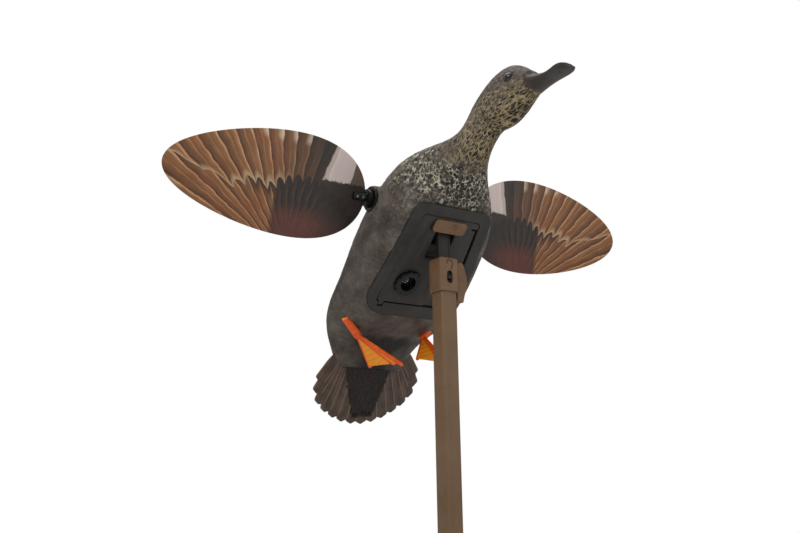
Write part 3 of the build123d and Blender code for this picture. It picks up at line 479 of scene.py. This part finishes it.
    # pale slips on the trailing feather ends
    slips = addNode(tree, "Math", (addNode(tree, "MapRange", (chord, 40.0, 46.0, 0.0, 1.0)),
                                   addNode(tree, "MapRange", (across, 0.55, 0.95, 0.0, 0.8))),
                    operation="MULTIPLY")
    slips = addNode(tree, "Math", (slips, addNode(tree, "MapRange", (span, 134.0, 140.0, 0.0, 1.0))),
                    operation="MULTIPLY")
    slips = addNode(tree, "Math", (slips, addNode(tree, "MapRange", (span, 205.0, 190.0, 0.0, 1.0))),
                    operation="MULTIPLY")
    colour = addNode(tree, "MixRGB", (slips, colour, linearColour("#e6cdb0")))
    tree.links.new(colour, shader.inputs["Base Color"])
    film = addNode(tree, "TexNoise", {"Vector": turned, "Scale": 0.3, "Detail": 3.0})
    rough = addNode(tree, "MapRange", (film, 0.3, 0.7, 0.42, 0.55))
    tree.links.new(rough, shader.inputs["Roughness"])
    bump = addNode(tree, "Bump", {"Strength": 0.05, "Distance": 0.0003, "Height": streak})
    tree.links.new(bump, shader.inputs["Normal"])
    shader.inputs["IOR"].default_value = 1.5
    return material


# flexible tail vanes: grey-brown, a quill and slanting barbs in each
def tailVane():
    material, tree, shader = newMaterial("tailVane")
    place = addNode(tree, "TexCoord").node.outputs["Object"]
    lay = addNode(tree, "SeparateXYZ", (addNode(tree, "UVMap", uv_map="vane"),)).node
    side = addNode(tree, "Math", (lay.outputs["X"],), operation="ABSOLUTE")
    slant = addNode(tree, "Math", (lay.outputs["Y"], addNode(tree, "Math", (side, 1.4),
                                                             operation="MULTIPLY")),
                    operation="ADD")
    barbs = addNode(tree, "TexNoise", {"Vector": addNode(tree, "CombineXYZ", (slant, 0.0, 0.0)),
                                       "Scale": 1000 / 1.6,
                                       "Detail": 3.0})
    broad = addNode(tree, "TexNoise", {"Vector": place, "Scale": 1000 / 14, "Detail": 4.0})
    colour = addNode(tree, "ValToRGB", (broad,), stops=[(0.35, "#42332a"), (0.65, "#5f4c3f")])
    barbShade = addNode(tree, "ValToRGB", (barbs,), stops=[(0.35, "#7a746e"), (0.65, "#d8d2ca")])
    colour = addNode(tree, "MixRGB", (0.4, colour, barbShade), blend_type="OVERLAY")
    edge = addNode(tree, "MapRange", (side, 0.0052, 0.0066, 0.0, 0.6))
    colour = addNode(tree, "MixRGB", (edge, colour, linearColour("#7d6a58")))
    quill = addNode(tree, "MapRange", (side, 0.0003, 0.0006, 0.7, 0.0))
    colour = addNode(tree, "MixRGB", (quill, colour, linearColour("#2e241e")))
    tree.links.new(colour, shader.inputs["Base Color"])
    bump = addNode(tree, "Bump", {"Strength": 0.35, "Distance": 0.0004, "Height": barbs})
    tree.links.new(bump, shader.inputs["Normal"])
    shader.inputs["Roughness"].default_value = 0.58
    return material


# blown glass-like eye: black with a wet gloss
def glossyEye():
    material, tree, shader = newMaterial("glossyEye")
    place = addNode(tree, "TexCoord").node.outputs["Object"]
    fleck = addNode(tree, "TexNoise", {"Vector": place, "Scale": 1000 / 1.2, "Detail": 3.0})
    colour = addNode(tree, "ValToRGB", (fleck,), stops=[(0.4, "#0b0706"), (0.75, "#24120c")])
    tree.links.new(colour, shader.inputs["Base Color"])
    shader.inputs["Roughness"].default_value = 0.06
    shader.inputs["Coat Weight"].default_value = 0.6
    shader.inputs["Coat Roughness"].default_value = 0.03
    return material


# solder-masked glass-epoxy board
def solderMask():
    material, tree, shader = newMaterial("solderMask")
    place = addNode(tree, "TexCoord").node.outputs["Object"]
    track = addNode(tree, "TexBrick", {"Vector": place, "Color1": linearColour("#0f4a26"),
                                       "Color2": linearColour("#14552c"), "Mortar": linearColour("#1f7a44"),
                                       "Scale": 1000 / 6, "Mortar Size": 0.03})
    tree.links.new(track, shader.inputs["Base Color"])
    shader.inputs["Roughness"].default_value = 0.35
    return material


bladePrint = printedBlade()
plumage = sprayedPlumage()
vane = tailVane()
vinyl = softVinyl()
eyeGloss = glossyEye()
platePlastic = mouldedPlastic("texturedPolypropylene", "#2f2c29", "#3f3c38", rough=0.5, grainDepth=0.18)
blackPlastic = mouldedPlastic("glossyBlackNylon", "#090909", "#161615", rough=0.28, grainDepth=0.03)
darkPlastic = mouldedPlastic("darkGlassFilledNylon", "#26221e", "#35302b", rough=0.48, grainDepth=0.15)
tanPlastic = mouldedPlastic("tanGlassFilledNylon", "#6c4f38", "#84664a", rough=0.5, grainDepth=0.15)
polePaint = mouldedPlastic("tanPowderCoat", "#6e543a", "#80654a", rough=0.46, grainMm=0.6, grainDepth=0.2,
                           wearMm=60)
nylonWhite = mouldedPlastic("naturalNylon", "#c9c5b8", "#dedacb", rough=0.4)
cellSleeve = mouldedPlastic("cellSleeve", "#1b1c20", "#2a2b30", rough=0.25, grainDepth=0.03)
zincSteel = steelSheet("zincPlatedSteel", "#8d9094", "#b9bcc0")
springWire = steelSheet("springWire", "#8a8a88", "#c4c4c2", rough=0.25)
pressedSteel = steelSheet("pressedSteel", "#85888b", "#adb0b2", rough=0.38)
motorCan = steelSheet("drawnMotorCan", "#7d7e80", "#a2a3a5", rough=0.3)
nickelMagnet = steelSheet("nickelPlate", "#a9a49b", "#cfcac0", rough=0.18)
satinSilver = steelSheet("satinSilver", "#a3a19d", "#c8c6c2", rough=0.3, brushMm=0.6)
boardGreen = solderMask()
print("materials made")

materialOfSlot = {
    "painted_plumage": plumage, "tail_vinyl": vane, "printed_wing": bladePrint, "plate_plastic": platePlastic,
    "black_plastic": blackPlastic, "dark_plastic": darkPlastic, "tan_plastic": tanPlastic,
    "stake_paint": polePaint, "orange_vinyl": vinyl, "eye_glass": eyeGloss, "plain_steel": zincSteel,
    "spring_steel": springWire, "bracket_steel": pressedSteel, "motor_can": motorCan,
    "magnet_nickel": nickelMagnet, "switch_silver": satinSilver, "white_nylon": nylonWhite,
    "circuit_board": boardGreen, "cell_jacket": cellSleeve,
}
slotOfNode = {part["node"]: part["material_slot"] for part in frame["record"]["subparts"]}
for node, part in cadNodes.items():
    part.data.materials.clear()
    part.data.materials.append(materialOfSlot[slotOfNode[node]])
    part.data.shade_flat()
print("frame painted")


skin = {
    "voxel": 0.0015,            # how fine the skin is rebuilt before the feathers are raised
    "backFeather": (15.0, 19.0, 0.9),      # width, length and height in mm
    "breastFeather": (8.0, 9.0, 0.55),
    "neckFeather": (4.5, 9.0, 0.28),
}


def featherHeight(around, along, width, length):
    row = np.floor(along / length)
    best = np.zeros_like(along)
    tip = np.zeros_like(along)
    done = np.zeros(len(along), bool)
    for step in (-1, 0):
        k = row + step
        middle = (np.round(around / width - 0.5 * (k % 2)) + 0.5 * (k % 2)) * width
        off = np.abs(around - middle) / (width / 2)
        end = (k + 1) * length + 0.5 * length * (1 - off ** 2)
        covers = (~done) & ((along <= end) if step < 0 else True)
        rise = (along - k * length) / (1.5 * length)
        best = np.where(covers, rise * (1 - 0.25 * off ** 2), best)
        tip = np.where(covers, 1 - np.clip((end - along) / (0.22 * length), 0, 1), tip)
        done |= covers
    return best, tip


def featheredSkin():
    piece = copyNode("body_shell", "featheredSkin")
    remesh = piece.modifiers.new("skin", "REMESH")
    remesh.mode = "VOXEL"
    remesh.voxel_size = skin["voxel"]
    relax = piece.modifiers.new("relax", "SMOOTH")
    relax.factor = 0.5
    relax.iterations = 3
    applyModifiers(piece)

    places = vertexPlaces(piece)
    normals = np.zeros(len(places) * 3)
    piece.data.vertex_normals.foreach_get("vector", normals)
    normals = normals.reshape(-1, 3)
    tree = BVHTree.FromObject(piece, bpy.context.evaluated_depsgraph_get())
    outer = np.ones(len(places))
    for i, (place, normal) in enumerate(zip(places, normals)):
        start = Vector(place) + Vector(normal) * 0.0008
        if tree.ray_cast(start, Vector(normal), 0.22)[0] is not None:
            outer[i] = 0

    x, y, z = inBird(places)
    # the body's middle line, from rump to crown
    lineX = np.array([-200, -150, -60, 20, 74, 106, 138, 164, 181])
    lineZ = np.array([8, 20, 24, 24, 17, 8, 0, -18, -35])
    middle = np.interp(x, lineX, lineZ)
    turn = np.abs(np.arctan2(y, -(z - middle)))         # 0 under the belly, pi on the back
    girth = 60 - 39 * smoothStep(20, 92, x)
    around = turn * girth
    wobble = 4 * np.sin(x * 0.21 + turn * 5) + 3 * np.sin(turn * 11 + x * 0.07)

    reach = (x - 175) * math.cos(math.radians(41)) - (z + 34) * math.sin(math.radians(41))
    bill = smoothStep(5.0, 7.0, reach - 2.5 * np.cos(2 * turn))
    head = smoothStep(60, 84, x + wobble) * (1 - bill)
    breast = smoothStep(12, 46, x + wobble * 1.5) * (1 - head)
    crown = smoothStep(math.radians(100), math.radians(114), turn + 0.25 * smoothStep(125, 160, x)) * head
    back = smoothStep(math.radians(118), math.radians(128), turn) * (1 - smoothStep(20, 60, x))
    rump = smoothStep(-140, -152, x + 0.5 * wobble + 14 * (1 - np.cos(turn))) \
        * (1 - smoothStep(math.radians(62), math.radians(84), turn))

    bigUp, bigTip = featherHeight(around, -x, *skin["backFeather"][:2])
    midUp, midTip = featherHeight(around, -x, *skin["breastFeather"][:2])
    smallUp, smallTip = featherHeight(around, -x, *skin["neckFeather"][:2])
    shoulder = smoothStep(-60, 30, x) * smoothStep(math.radians(20), math.radians(60), turn)
    bigShare = np.clip(0.12 + 0.9 * back + 0.25 * smoothStep(math.radians(70), math.radians(120), turn), 0, 1)
    rise = bigUp * skin["backFeather"][2] * bigShare * (1 - breast) * (1 - head)
    rise += midUp * skin["breastFeather"][2] * np.clip(breast + 0.8 * shoulder * (1 - back), 0,
                                                       1) * (1 - head)
    rise += smallUp * skin["neckFeather"][2] * head
    rise *= (1 - bill)
    # nostrils and the nail at the bill's end
    for side in (-1, 1):
        pit = np.exp(-(((reach - 19) / 4.0) ** 2 + ((y - side * 6.5) / 2.2) ** 2))
        rise -= bill * 0.9 * pit * (turn > math.pi / 2)
    nail = np.exp(-(((reach - 52) / 4.0) ** 2 + (y / 5.0) ** 2)) * (turn > math.pi / 2)
    rise += 0.5 * nail * bill
    # keep clear of the collars, the belly plate and the eyes
    collar = np.hypot(x - inBird(np.array([shaftPlace]))[0][0], z - inBird(np.array([shaftPlace]))[2][0])
    rise *= smoothStep(15, 19, collar) * smoothStep(-9, -4, np.where(x < 30, z, 20))
    for side in (-1, 1):
        far = np.sqrt((x - 171.5) ** 2 + (y - side * 13.7) ** 2 + (z + 16.5) ** 2)
        rise *= smoothStep(5.5, 8, far)
        rise += 0.45 * np.exp(-((far - 6.0) / 0.7) ** 2)
    rise *= outer
    setVertexPlaces(piece, places + normals * (rise / 1000 - 0.0001 * outer)[:, None])

    share = np.clip(midUp * (breast + shoulder * (1 - back)) + bigUp * bigShare + smallUp * head, 0,
                    1) * (1 - bill)
    floatAttribute(piece, "raised", np.where(share > 0.02, 0.25 + share * 0.75, 0.4))
    floatAttribute(piece, "edge", bigTip * back)
    for name, values in (("breast", breast), ("head", head), ("crown", crown), ("rump", rump), ("back", back),
                         ("bill", bill)):
        floatAttribute(piece, name, values)
    lay = piece.data.uv_layers.new(name="lay")
    loops = np.zeros(len(piece.data.loops), np.int32)
    piece.data.loops.foreach_get("vertex_index", loops)
    flat = np.stack([around[loops] / 1000, x[loops] / 1000], -1)
    lay.data.foreach_set("uv", flat.ravel())
    for face in piece.data.polygons:
        face.use_smooth = True
    finishPiece(piece, plumage, "bird", "painted_plumage", "body_shell")
    return piece


featheredSkin()
print("skin feathered")


# ---- tail: vanes fanned along the moulded fan, the middle one on top, with soot-dark coverts below
tail = {
    "root": (-190.0, 14.5), "slope": 42.0, "turn": 7.0,     # the fan's own plane, as on the frame
    "vanes": 15, "halfWidth": 7.6, "thickness": 0.0009, "step": 0.00032,
}


def fanPoint(along, across, lift=0.0):
    slope = math.radians(tail["slope"])
    turn = math.radians(tail["turn"])
    far = along * math.cos(turn) - across * math.sin(turn)
    side = across * math.cos(turn) - along * math.sin(turn)
    x = tail["root"][0] - far * math.cos(slope) - lift * math.sin(slope)
    z = tail["root"][1] - far * math.sin(slope) + lift * math.cos(slope)
    return birdPoint(x, side, z)


def tailFan():
    rim = [(16, 60), (24, 62.5), (33, 63.5), (44, 61), (53, 54), (61, 43), (68, 29), (72, 15), (73.5, 0)]
    rim = rim + [(a, -b) for a, b in reversed(rim[:-1])]
    run = np.array(rim, float)
    walked = np.concatenate([[0], np.cumsum(np.hypot(*np.diff(run, axis=0).T))])
    vanes = []
    for number in range(tail["vanes"]):
        place = (number + 0.5) / tail["vanes"] * walked[-1]
        tipAlong = np.interp(place, walked, run[:, 0])
        tipAcross = np.interp(place, walked, run[:, 1])
        rootAcross = tipAcross * 0.55
        rootAlong = -18.0
        count = abs(number - tail["vanes"] // 2)
        length = math.hypot(tipAlong - rootAlong, tipAcross - rootAcross)
        ahead = np.array([tipAlong - rootAlong, tipAcross - rootAcross]) / length
        beside = np.array([-ahead[1], ahead[0]])
        deselectAll()
        bpy.ops.mesh.primitive_grid_add(x_subdivisions=8, y_subdivisions=30, size=1)
        blade = bpy.context.object
        blade.name = "tailVane%02d" % number
        blade.data.name = blade.name
        vanesUv = blade.data.uv_layers.new(name="vane")
        local = vertexPlaces(blade)
        t = local[:, 1] + 0.5
        u = local[:, 0] * 2
        widen = tail["halfWidth"] * (0.55 + 0.45 * smoothStep(0, 0.6, t))
        round_ = np.sqrt(np.clip(1 - np.clip((t - 0.93) / 0.07, 0, 1) ** 2, 0, 1)) * 0.94 + 0.06
        wide = u * widen * round_
        lift = 0.45 * (1 - u ** 2) - 0.3 * np.exp(-(u / 0.12) ** 2) + 0.9 - tail["step"] * 1000 * count
        spots = []
        for tt, ww, up in zip(t, wide, lift):
            flat = np.array([rootAlong, rootAcross]) + ahead * tt * length + beside * ww
            spots.append(fanPoint(flat[0], flat[1], up))
        loops = np.zeros(len(blade.data.loops), np.int32)
        blade.data.loops.foreach_get("vertex_index", loops)
        vanesUv.data.foreach_set("uv", np.stack([wide[loops] / 1000, t[loops] * length / 1000], -1).ravel())
        setVertexPlaces(blade, np.array([tuple(s) for s in spots]))
        thick = blade.modifiers.new("thickness", "SOLIDIFY")
        thick.thickness = tail["thickness"]
        thick.offset = 0
        applyModifiers(blade)
        vanes.append(blade)
    fan = joinInto(vanes[0], vanes[1:])
    fan.name = "tailVanes"
    fan.data.name = fan.name
    smoothByAngle(fan, 50)
    finishPiece(fan, vane, "bird", "tail_vinyl", "tail_fan")


def undertailCoverts():
    deselectAll()
    bpy.ops.mesh.primitive_grid_add(x_subdivisions=60, y_subdivisions=90, size=1)
    piece = bpy.context.object
    piece.name = "undertailCoverts"
    piece.data.name = piece.name
    local = vertexPlaces(piece)
    t = local[:, 1] + 0.5
    u = local[:, 0] * 2
    ragged = 1 + 0.05 * np.sin(u * 31) + 0.04 * np.sin(u * 57 + 1)
    along = -20 + t * (82 + 4 * np.sin(u * 31) * ragged)
    half = 36 * (1 - 0.66 * t ** 1.2)
    across = u * half * (1 + 0.05 * np.sin(t * 60 + 3 * np.sign(u)) + 0.04 * np.sin(t * 97))
    up, tip = featherHeight(across, along, 9.0, 11.0)
    lift = -1.1 - 0.5 * up - 2.2 * (1 - u ** 2) * (1 - t) + 0.7 * t ** 3
    spots = [fanPoint(a, b, c) for a, b, c in zip(along, across, lift)]
    setVertexPlaces(piece, np.array([tuple(s) for s in spots]))
    lay = piece.data.uv_layers.new(name="lay")
    loops = np.zeros(len(piece.data.loops), np.int32)
    piece.data.loops.foreach_get("vertex_index", loops)
    lay.data.foreach_set("uv", np.stack([across[loops] / 1000, along[loops] / 1000], -1).ravel())
    thick = piece.modifiers.new("thickness", "SOLIDIFY")
    thick.thickness = 0.0012
    thick.offset = 0
    applyModifiers(piece)
    none = np.zeros(len(piece.data.vertices))
    for name in ("breast", "head", "crown", "back", "bill", "edge"):
        floatAttribute(piece, name, none)
    floatAttribute(piece, "rump", none + 1)
    floatAttribute(piece, "raised", none + 0.35)
    smoothByAngle(piece, 50)
    finishPiece(piece, plumage, "bird", "painted_plumage")


tailFan()
undertailCoverts()
print("tail fanned")


# ---- wings: printed sheet blades with softened edges
def printedWing(side):
    node = side + "_wing"
    piece = copyNode(node, side + "WingBlade")
    roundEdges(piece, 0.0003, 2, 50)
    makeActive(piece)
    bpy.ops.object.mode_set(mode="EDIT")
    bpy.ops.mesh.select_all(action="SELECT")
    bpy.ops.mesh.quads_convert_to_tris()
    bpy.ops.object.mode_set(mode="OBJECT")
    smoothByAngle(piece, 40)
    finishPiece(piece, bladePrint, side + "_blade", "printed_wing", node)
    return piece


for side in ("left", "right"):
    printedWing(side)
print("wings hung")


# ---- feet: soft webbed feet, their webs lightly waved
foot = {"voxel": 0.0008, "relax": 5}


def webbedFoot(side):
    node = side + "_foot"
    piece = copyNode(node, side + "WebbedFoot")
    remesh = piece.modifiers.new("cast", "REMESH")
    remesh.mode = "VOXEL"
    remesh.voxel_size = foot["voxel"]
    relax = piece.modifiers.new("relax", "SMOOTH")
    relax.factor = 0.6
    relax.iterations = foot["relax"]
    applyModifiers(piece)
    places = vertexPlaces(piece)
    normals = np.zeros(len(places) * 3)
    piece.data.vertex_normals.foreach_get("vector", normals)
    normals = normals.reshape(-1, 3)
    tree = BVHTree.FromObject(piece, bpy.context.evaluated_depsgraph_get())
    thin = np.zeros(len(places))
    for i, (place, normal) in enumerate(zip(places, normals)):
        hit = tree.ray_cast(Vector(place) - Vector(normal) * 0.0002, -Vector(normal), 0.02)
        if hit[0] is not None:
            thin[i] = hit[3]
    web = 1 - smoothStep(0.0026, 0.0042, thin)
    floatAttribute(piece, "web", web)
    x, y, z = inBird(places)
    wave = 0.25 * np.sin((x * 0.8 + z) * 0.9) * web
    setVertexPlaces(piece, places + normals * (wave / 1000)[:, None])
    for face in piece.data.polygons:
        face.use_smooth = True
    finishPiece(piece, vinyl, "bird", "orange_vinyl", node)


for side in ("left", "right"):
    webbedFoot(side)
print("feet cast")


# ---- eyes: glossy balls, which the skin meets in a raised lid
eye = {"place": (171.5, 13.7, -16.5), "radius": 5.2}


def eyeBall(side, sign):
    x, y, z = eye["place"]
    centre = birdPoint(x, sign * y, z)
    deselectAll()
    bpy.ops.mesh.primitive_uv_sphere_add(segments=48, ring_count=32, radius=eye["radius"] / 1000,
                                         location=centre)
    ball = bpy.context.object
    ball.name = side + "EyeBall"
    ball.data.name = ball.name
    placeInMesh(ball)
    for face in ball.data.polygons:
        face.use_smooth = True
    finishPiece(ball, eyeGloss, "bird", "eye_glass", side + "_eye")


for side, sign in (("left", 1), ("right", -1)):
    eyeBall(side, sign)
print("eyes set")


# ---- belly plate, door, stake head and the small mouldings: the frame's own shapes with worked edges
workedEdges = [
    ("base_frame", "bellyFrame", 0.0009, 3, platePlastic),
    ("access_cover", "batteryCover", 0.0003, 2, platePlastic),
    ("door_latch", "doorLatch", 0.0006, 3, tanPlastic),
    ("switch_bezel", "switchBezel", 0.0005, 3, blackPlastic),
    ("power_button", "powerButton", 0.0004, 3, blackPlastic),
    ("pole_tube", "stakeTube", 0.0003, 2, polePaint),
    ("pole_cap", "stakeCap", 0.0007, 3, tanPlastic),
    ("release_lever", "releaseLever", 0.0006, 3, tanPlastic),
    ("support_peg", "supportPeg", 0.0005, 2, darkPlastic),
    ("peg_button", "pegButton", 0.0004, 2, blackPlastic),
    ("left_shaft_collar", "leftShaftCollar", 0.0006, 3, blackPlastic),
    ("right_shaft_collar", "rightShaftCollar", 0.0006, 3, blackPlastic),
    ("left_hub", "leftHub", 0.0005, 3, blackPlastic),
    ("right_hub", "rightHub", 0.0005, 3, blackPlastic),
    ("left_wing_post", "leftWingPost", 0.0004, 3, blackPlastic),
    ("right_wing_post", "rightWingPost", 0.0004, 3, blackPlastic),
    ("motor_bracket", "motorBracket", 0.0003, 2, pressedSteel),
    ("battery_holder", "batteryHolder", 0.0003, 2, blackPlastic),
]
bodyOfNode = {node: body for body,
              members in frame["record"]["behaviour"]["bodies"].items() for node in members}
for node, name, width, segments, material in workedEdges:
    piece = copyNode(node, name)
    roundEdges(piece, width, segments)
    smoothByAngle(piece, 38)
    finishPiece(piece, material, bodyOfNode[node], slotOfNode[node], node)
print("mouldings worked")


# ---- chassis door: a soft trough runs from the peg's pocket to the switch, a low ramp along its right edge
door = {"voxel": 0.0008, "trough": 1.9, "ramp": 1.0}


def chassisDoor():
    piece = copyNode("chassis_door", "chassisDoor")
    remesh = piece.modifiers.new("mould", "REMESH")
    remesh.mode = "VOXEL"
    remesh.voxel_size = door["voxel"]
    relax = piece.modifiers.new("relax", "SMOOTH")
    relax.factor = 0.5
    relax.iterations = 2
    applyModifiers(piece)
    places = vertexPlaces(piece)
    x, y, z = inBird(places)
    face = z.min()
    outerFace = smoothStep(face + 1.1, face + 0.5, z)
    # the trough: a rounded channel slanting away from the pocket's right side
    line = -20.5 + (x + 10) * 0.16
    channel = np.exp(-((y - line) / 5.2) ** 2) * smoothStep(-52, -36, x) * smoothStep(10, -2, x)
    rampLine = -31.0 + (x + 10) * 0.10
    ramp = smoothStep(rampLine + 1.2, rampLine - 1.2, y) * smoothStep(-86, -70, x) * smoothStep(12, 4, x)
    away = np.hypot(x + 68.3, y + 18.6)
    keep = smoothStep(15.5, 18.0, away)
    rise = (door["trough"] * channel + door["ramp"] * ramp) * outerFace * keep
    setVertexPlaces(piece, places + np.array(birdUp)[None, :] * (rise / 1000)[:, None])
    smoothByAngle(piece, 50)
    finishPiece(piece, platePlastic, "chassis", "plate_plastic", "chassis_door")


chassisDoor()


# ---- switch: a bright ring and dot in the black button
switchMark = {"ring": 0.0031, "bar": 0.0007, "dot": 0.0011}


def switchRing():
    places = vertexPlaces(cadNodes["power_button"])
    x, y, z = inBird(places)
    centre = birdPoint((x.min() + x.max()) / 2, (y.min() + y.max()) / 2, z.min())
    deselectAll()
    bpy.ops.mesh.primitive_torus_add(major_segments=40, minor_segments=10, major_radius=switchMark["ring"],
                                     minor_radius=switchMark["bar"])
    ring = bpy.context.object
    deselectAll()
    bpy.ops.mesh.primitive_uv_sphere_add(segments=20, ring_count=12, radius=switchMark["dot"])
    dot = bpy.context.object
    joinInto(ring, [dot])
    ring.name = "switchRing"
    ring.data.name = ring.name
    turned = Matrix.Rotation(-birdPitch, 4, "Y")
    ring.data.transform(Matrix.Translation(centre) @ turned)
    for face in ring.data.polygons:
        face.use_smooth = True
    finishPiece(ring, satinSilver, "switch_cap", "switch_silver")


switchRing()


# ---- stake cap: a fine S-shaped groove runs from a small boss to the keyhole, laid as a thin dark tube that is painted shade for the groove
def capGrooveShade():
    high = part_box("pole_cap")[1]
    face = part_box("pole_tube")[1].x + 0.002
    route = [(-3.2, -7.2), (-4.4, -5.0), (-2.2, -2.6), (0.6, -3.2), (2.6, -4.2), (3.6, -6.8),
             (2.4, -10.0), (1.2, -13.0)]
    curve = bpy.data.curves.new("capGrooveShade", "CURVE")
    curve.dimensions = "3D"
    spline = curve.splines.new("NURBS")
    spline.points.add(len(route) - 1)
    for point, (y, z) in zip(spline.points, route):
        point.co = (face, y / 1000, high.z + z / 1000, 1)
    spline.order_u = 3
    spline.use_endpoint_u = True
    curve.bevel_depth = 0.00042
    curve.bevel_resolution = 2
    curve.use_fill_caps = True
    # painted shade: the dark tube stands for the shade in the groove
    grooveShade = bpy.data.objects.new("capGrooveShade", curve)
    bpy.context.scene.collection.objects.link(grooveShade)
    makeActive(grooveShade)
    bpy.ops.object.convert(target="MESH")
    finishPiece(bpy.context.object, darkPlastic, "pole", "dark_plastic")


capGrooveShade()
print("door, switch and cap finished")


room = {"glow": 0.42, "floorHeight": -0.6}


def setStage():
    deselectAll()
    bpy.ops.mesh.primitive_plane_add(size=12, location=(0, 0, room["floorHeight"]))
    floor = bpy.context.object
    floor.name = "paleFloor"
    material, tree, shader = newMaterial("paleFloorPaint")
    shader.inputs["Base Color"].default_value = linearColour("#f2f2f2")
    shader.inputs["Roughness"].default_value = 0.9
    floor.data.materials.append(material)
    world = bpy.data.worlds.new("whiteRoom")
    bpy.context.scene.world = world
    world.use_nodes = True
    tree = world.node_tree
    seen = addNode(tree, "LightPath")
    strength = addNode(tree, "MapRange", (seen, 0.0, 1.0, room["glow"], 1.0))
    background = tree.nodes["Background"]
    background.inputs["Color"].default_value = (1, 1, 1, 1)
    tree.links.new(strength, background.inputs["Strength"])


def softBox(name, place, aim, size, power):
    light = bpy.data.lights.new(name, "AREA")
    light.shape = "RECTANGLE"
    light.size, light.size_y = size
    light.energy = power
    lamp = bpy.data.objects.new(name, light)
    bpy.context.scene.collection.objects.link(lamp)
    lamp.location = place
    lamp.rotation_euler = (Vector(aim) - Vector(place)).to_track_quat("-Z", "Y").to_euler()


camera = {
    "place": (0.8164, -0.5775, 0.0586), "lens": 45.22,
    "heading": 0.571, "pitch": 0.260, "roll": -0.015,
}


def setCamera():
    data = bpy.data.cameras.new("camera")
    data.lens = camera["lens"]
    data.sensor_width = 36
    data.clip_start = 0.05
    holder = bpy.data.objects.new("camera", data)
    bpy.context.scene.collection.objects.link(holder)
    level = Vector((-math.cos(camera["heading"]), math.sin(camera["heading"]), 0))
    ahead = level * math.cos(camera["pitch"]) + Vector((0, 0, math.sin(camera["pitch"])))
    right = ahead.cross(Vector((0, 0, 1))).normalized()
    up = right.cross(ahead)
    lean = camera["roll"]
    rightLean = right * math.cos(lean) + up * math.sin(lean)
    upLean = up * math.cos(lean) - right * math.sin(lean)
    matrix = Matrix((rightLean, upLean, -ahead)).transposed().to_4x4()
    matrix.translation = Vector(camera["place"])
    holder.matrix_world = matrix
    bpy.context.scene.camera = holder


setStage()
softBox("keyBox", (0.9, -1.6, 1.5), (0, 0, 0.35), (1.2, 1.2), 14)
softBox("fillBox", (1.8, 0.9, 0.6), (0, 0, 0.35), (1.4, 1.4), 6)
softBox("topBox", (-0.3, 0.2, 2.0), (0, 0, 0.35), (1.6, 1.6), 10)
setCamera()
bpy.context.scene.view_settings.view_transform = "Standard"
bpy.context.scene.view_settings.look = "None"
print("lit and framed")
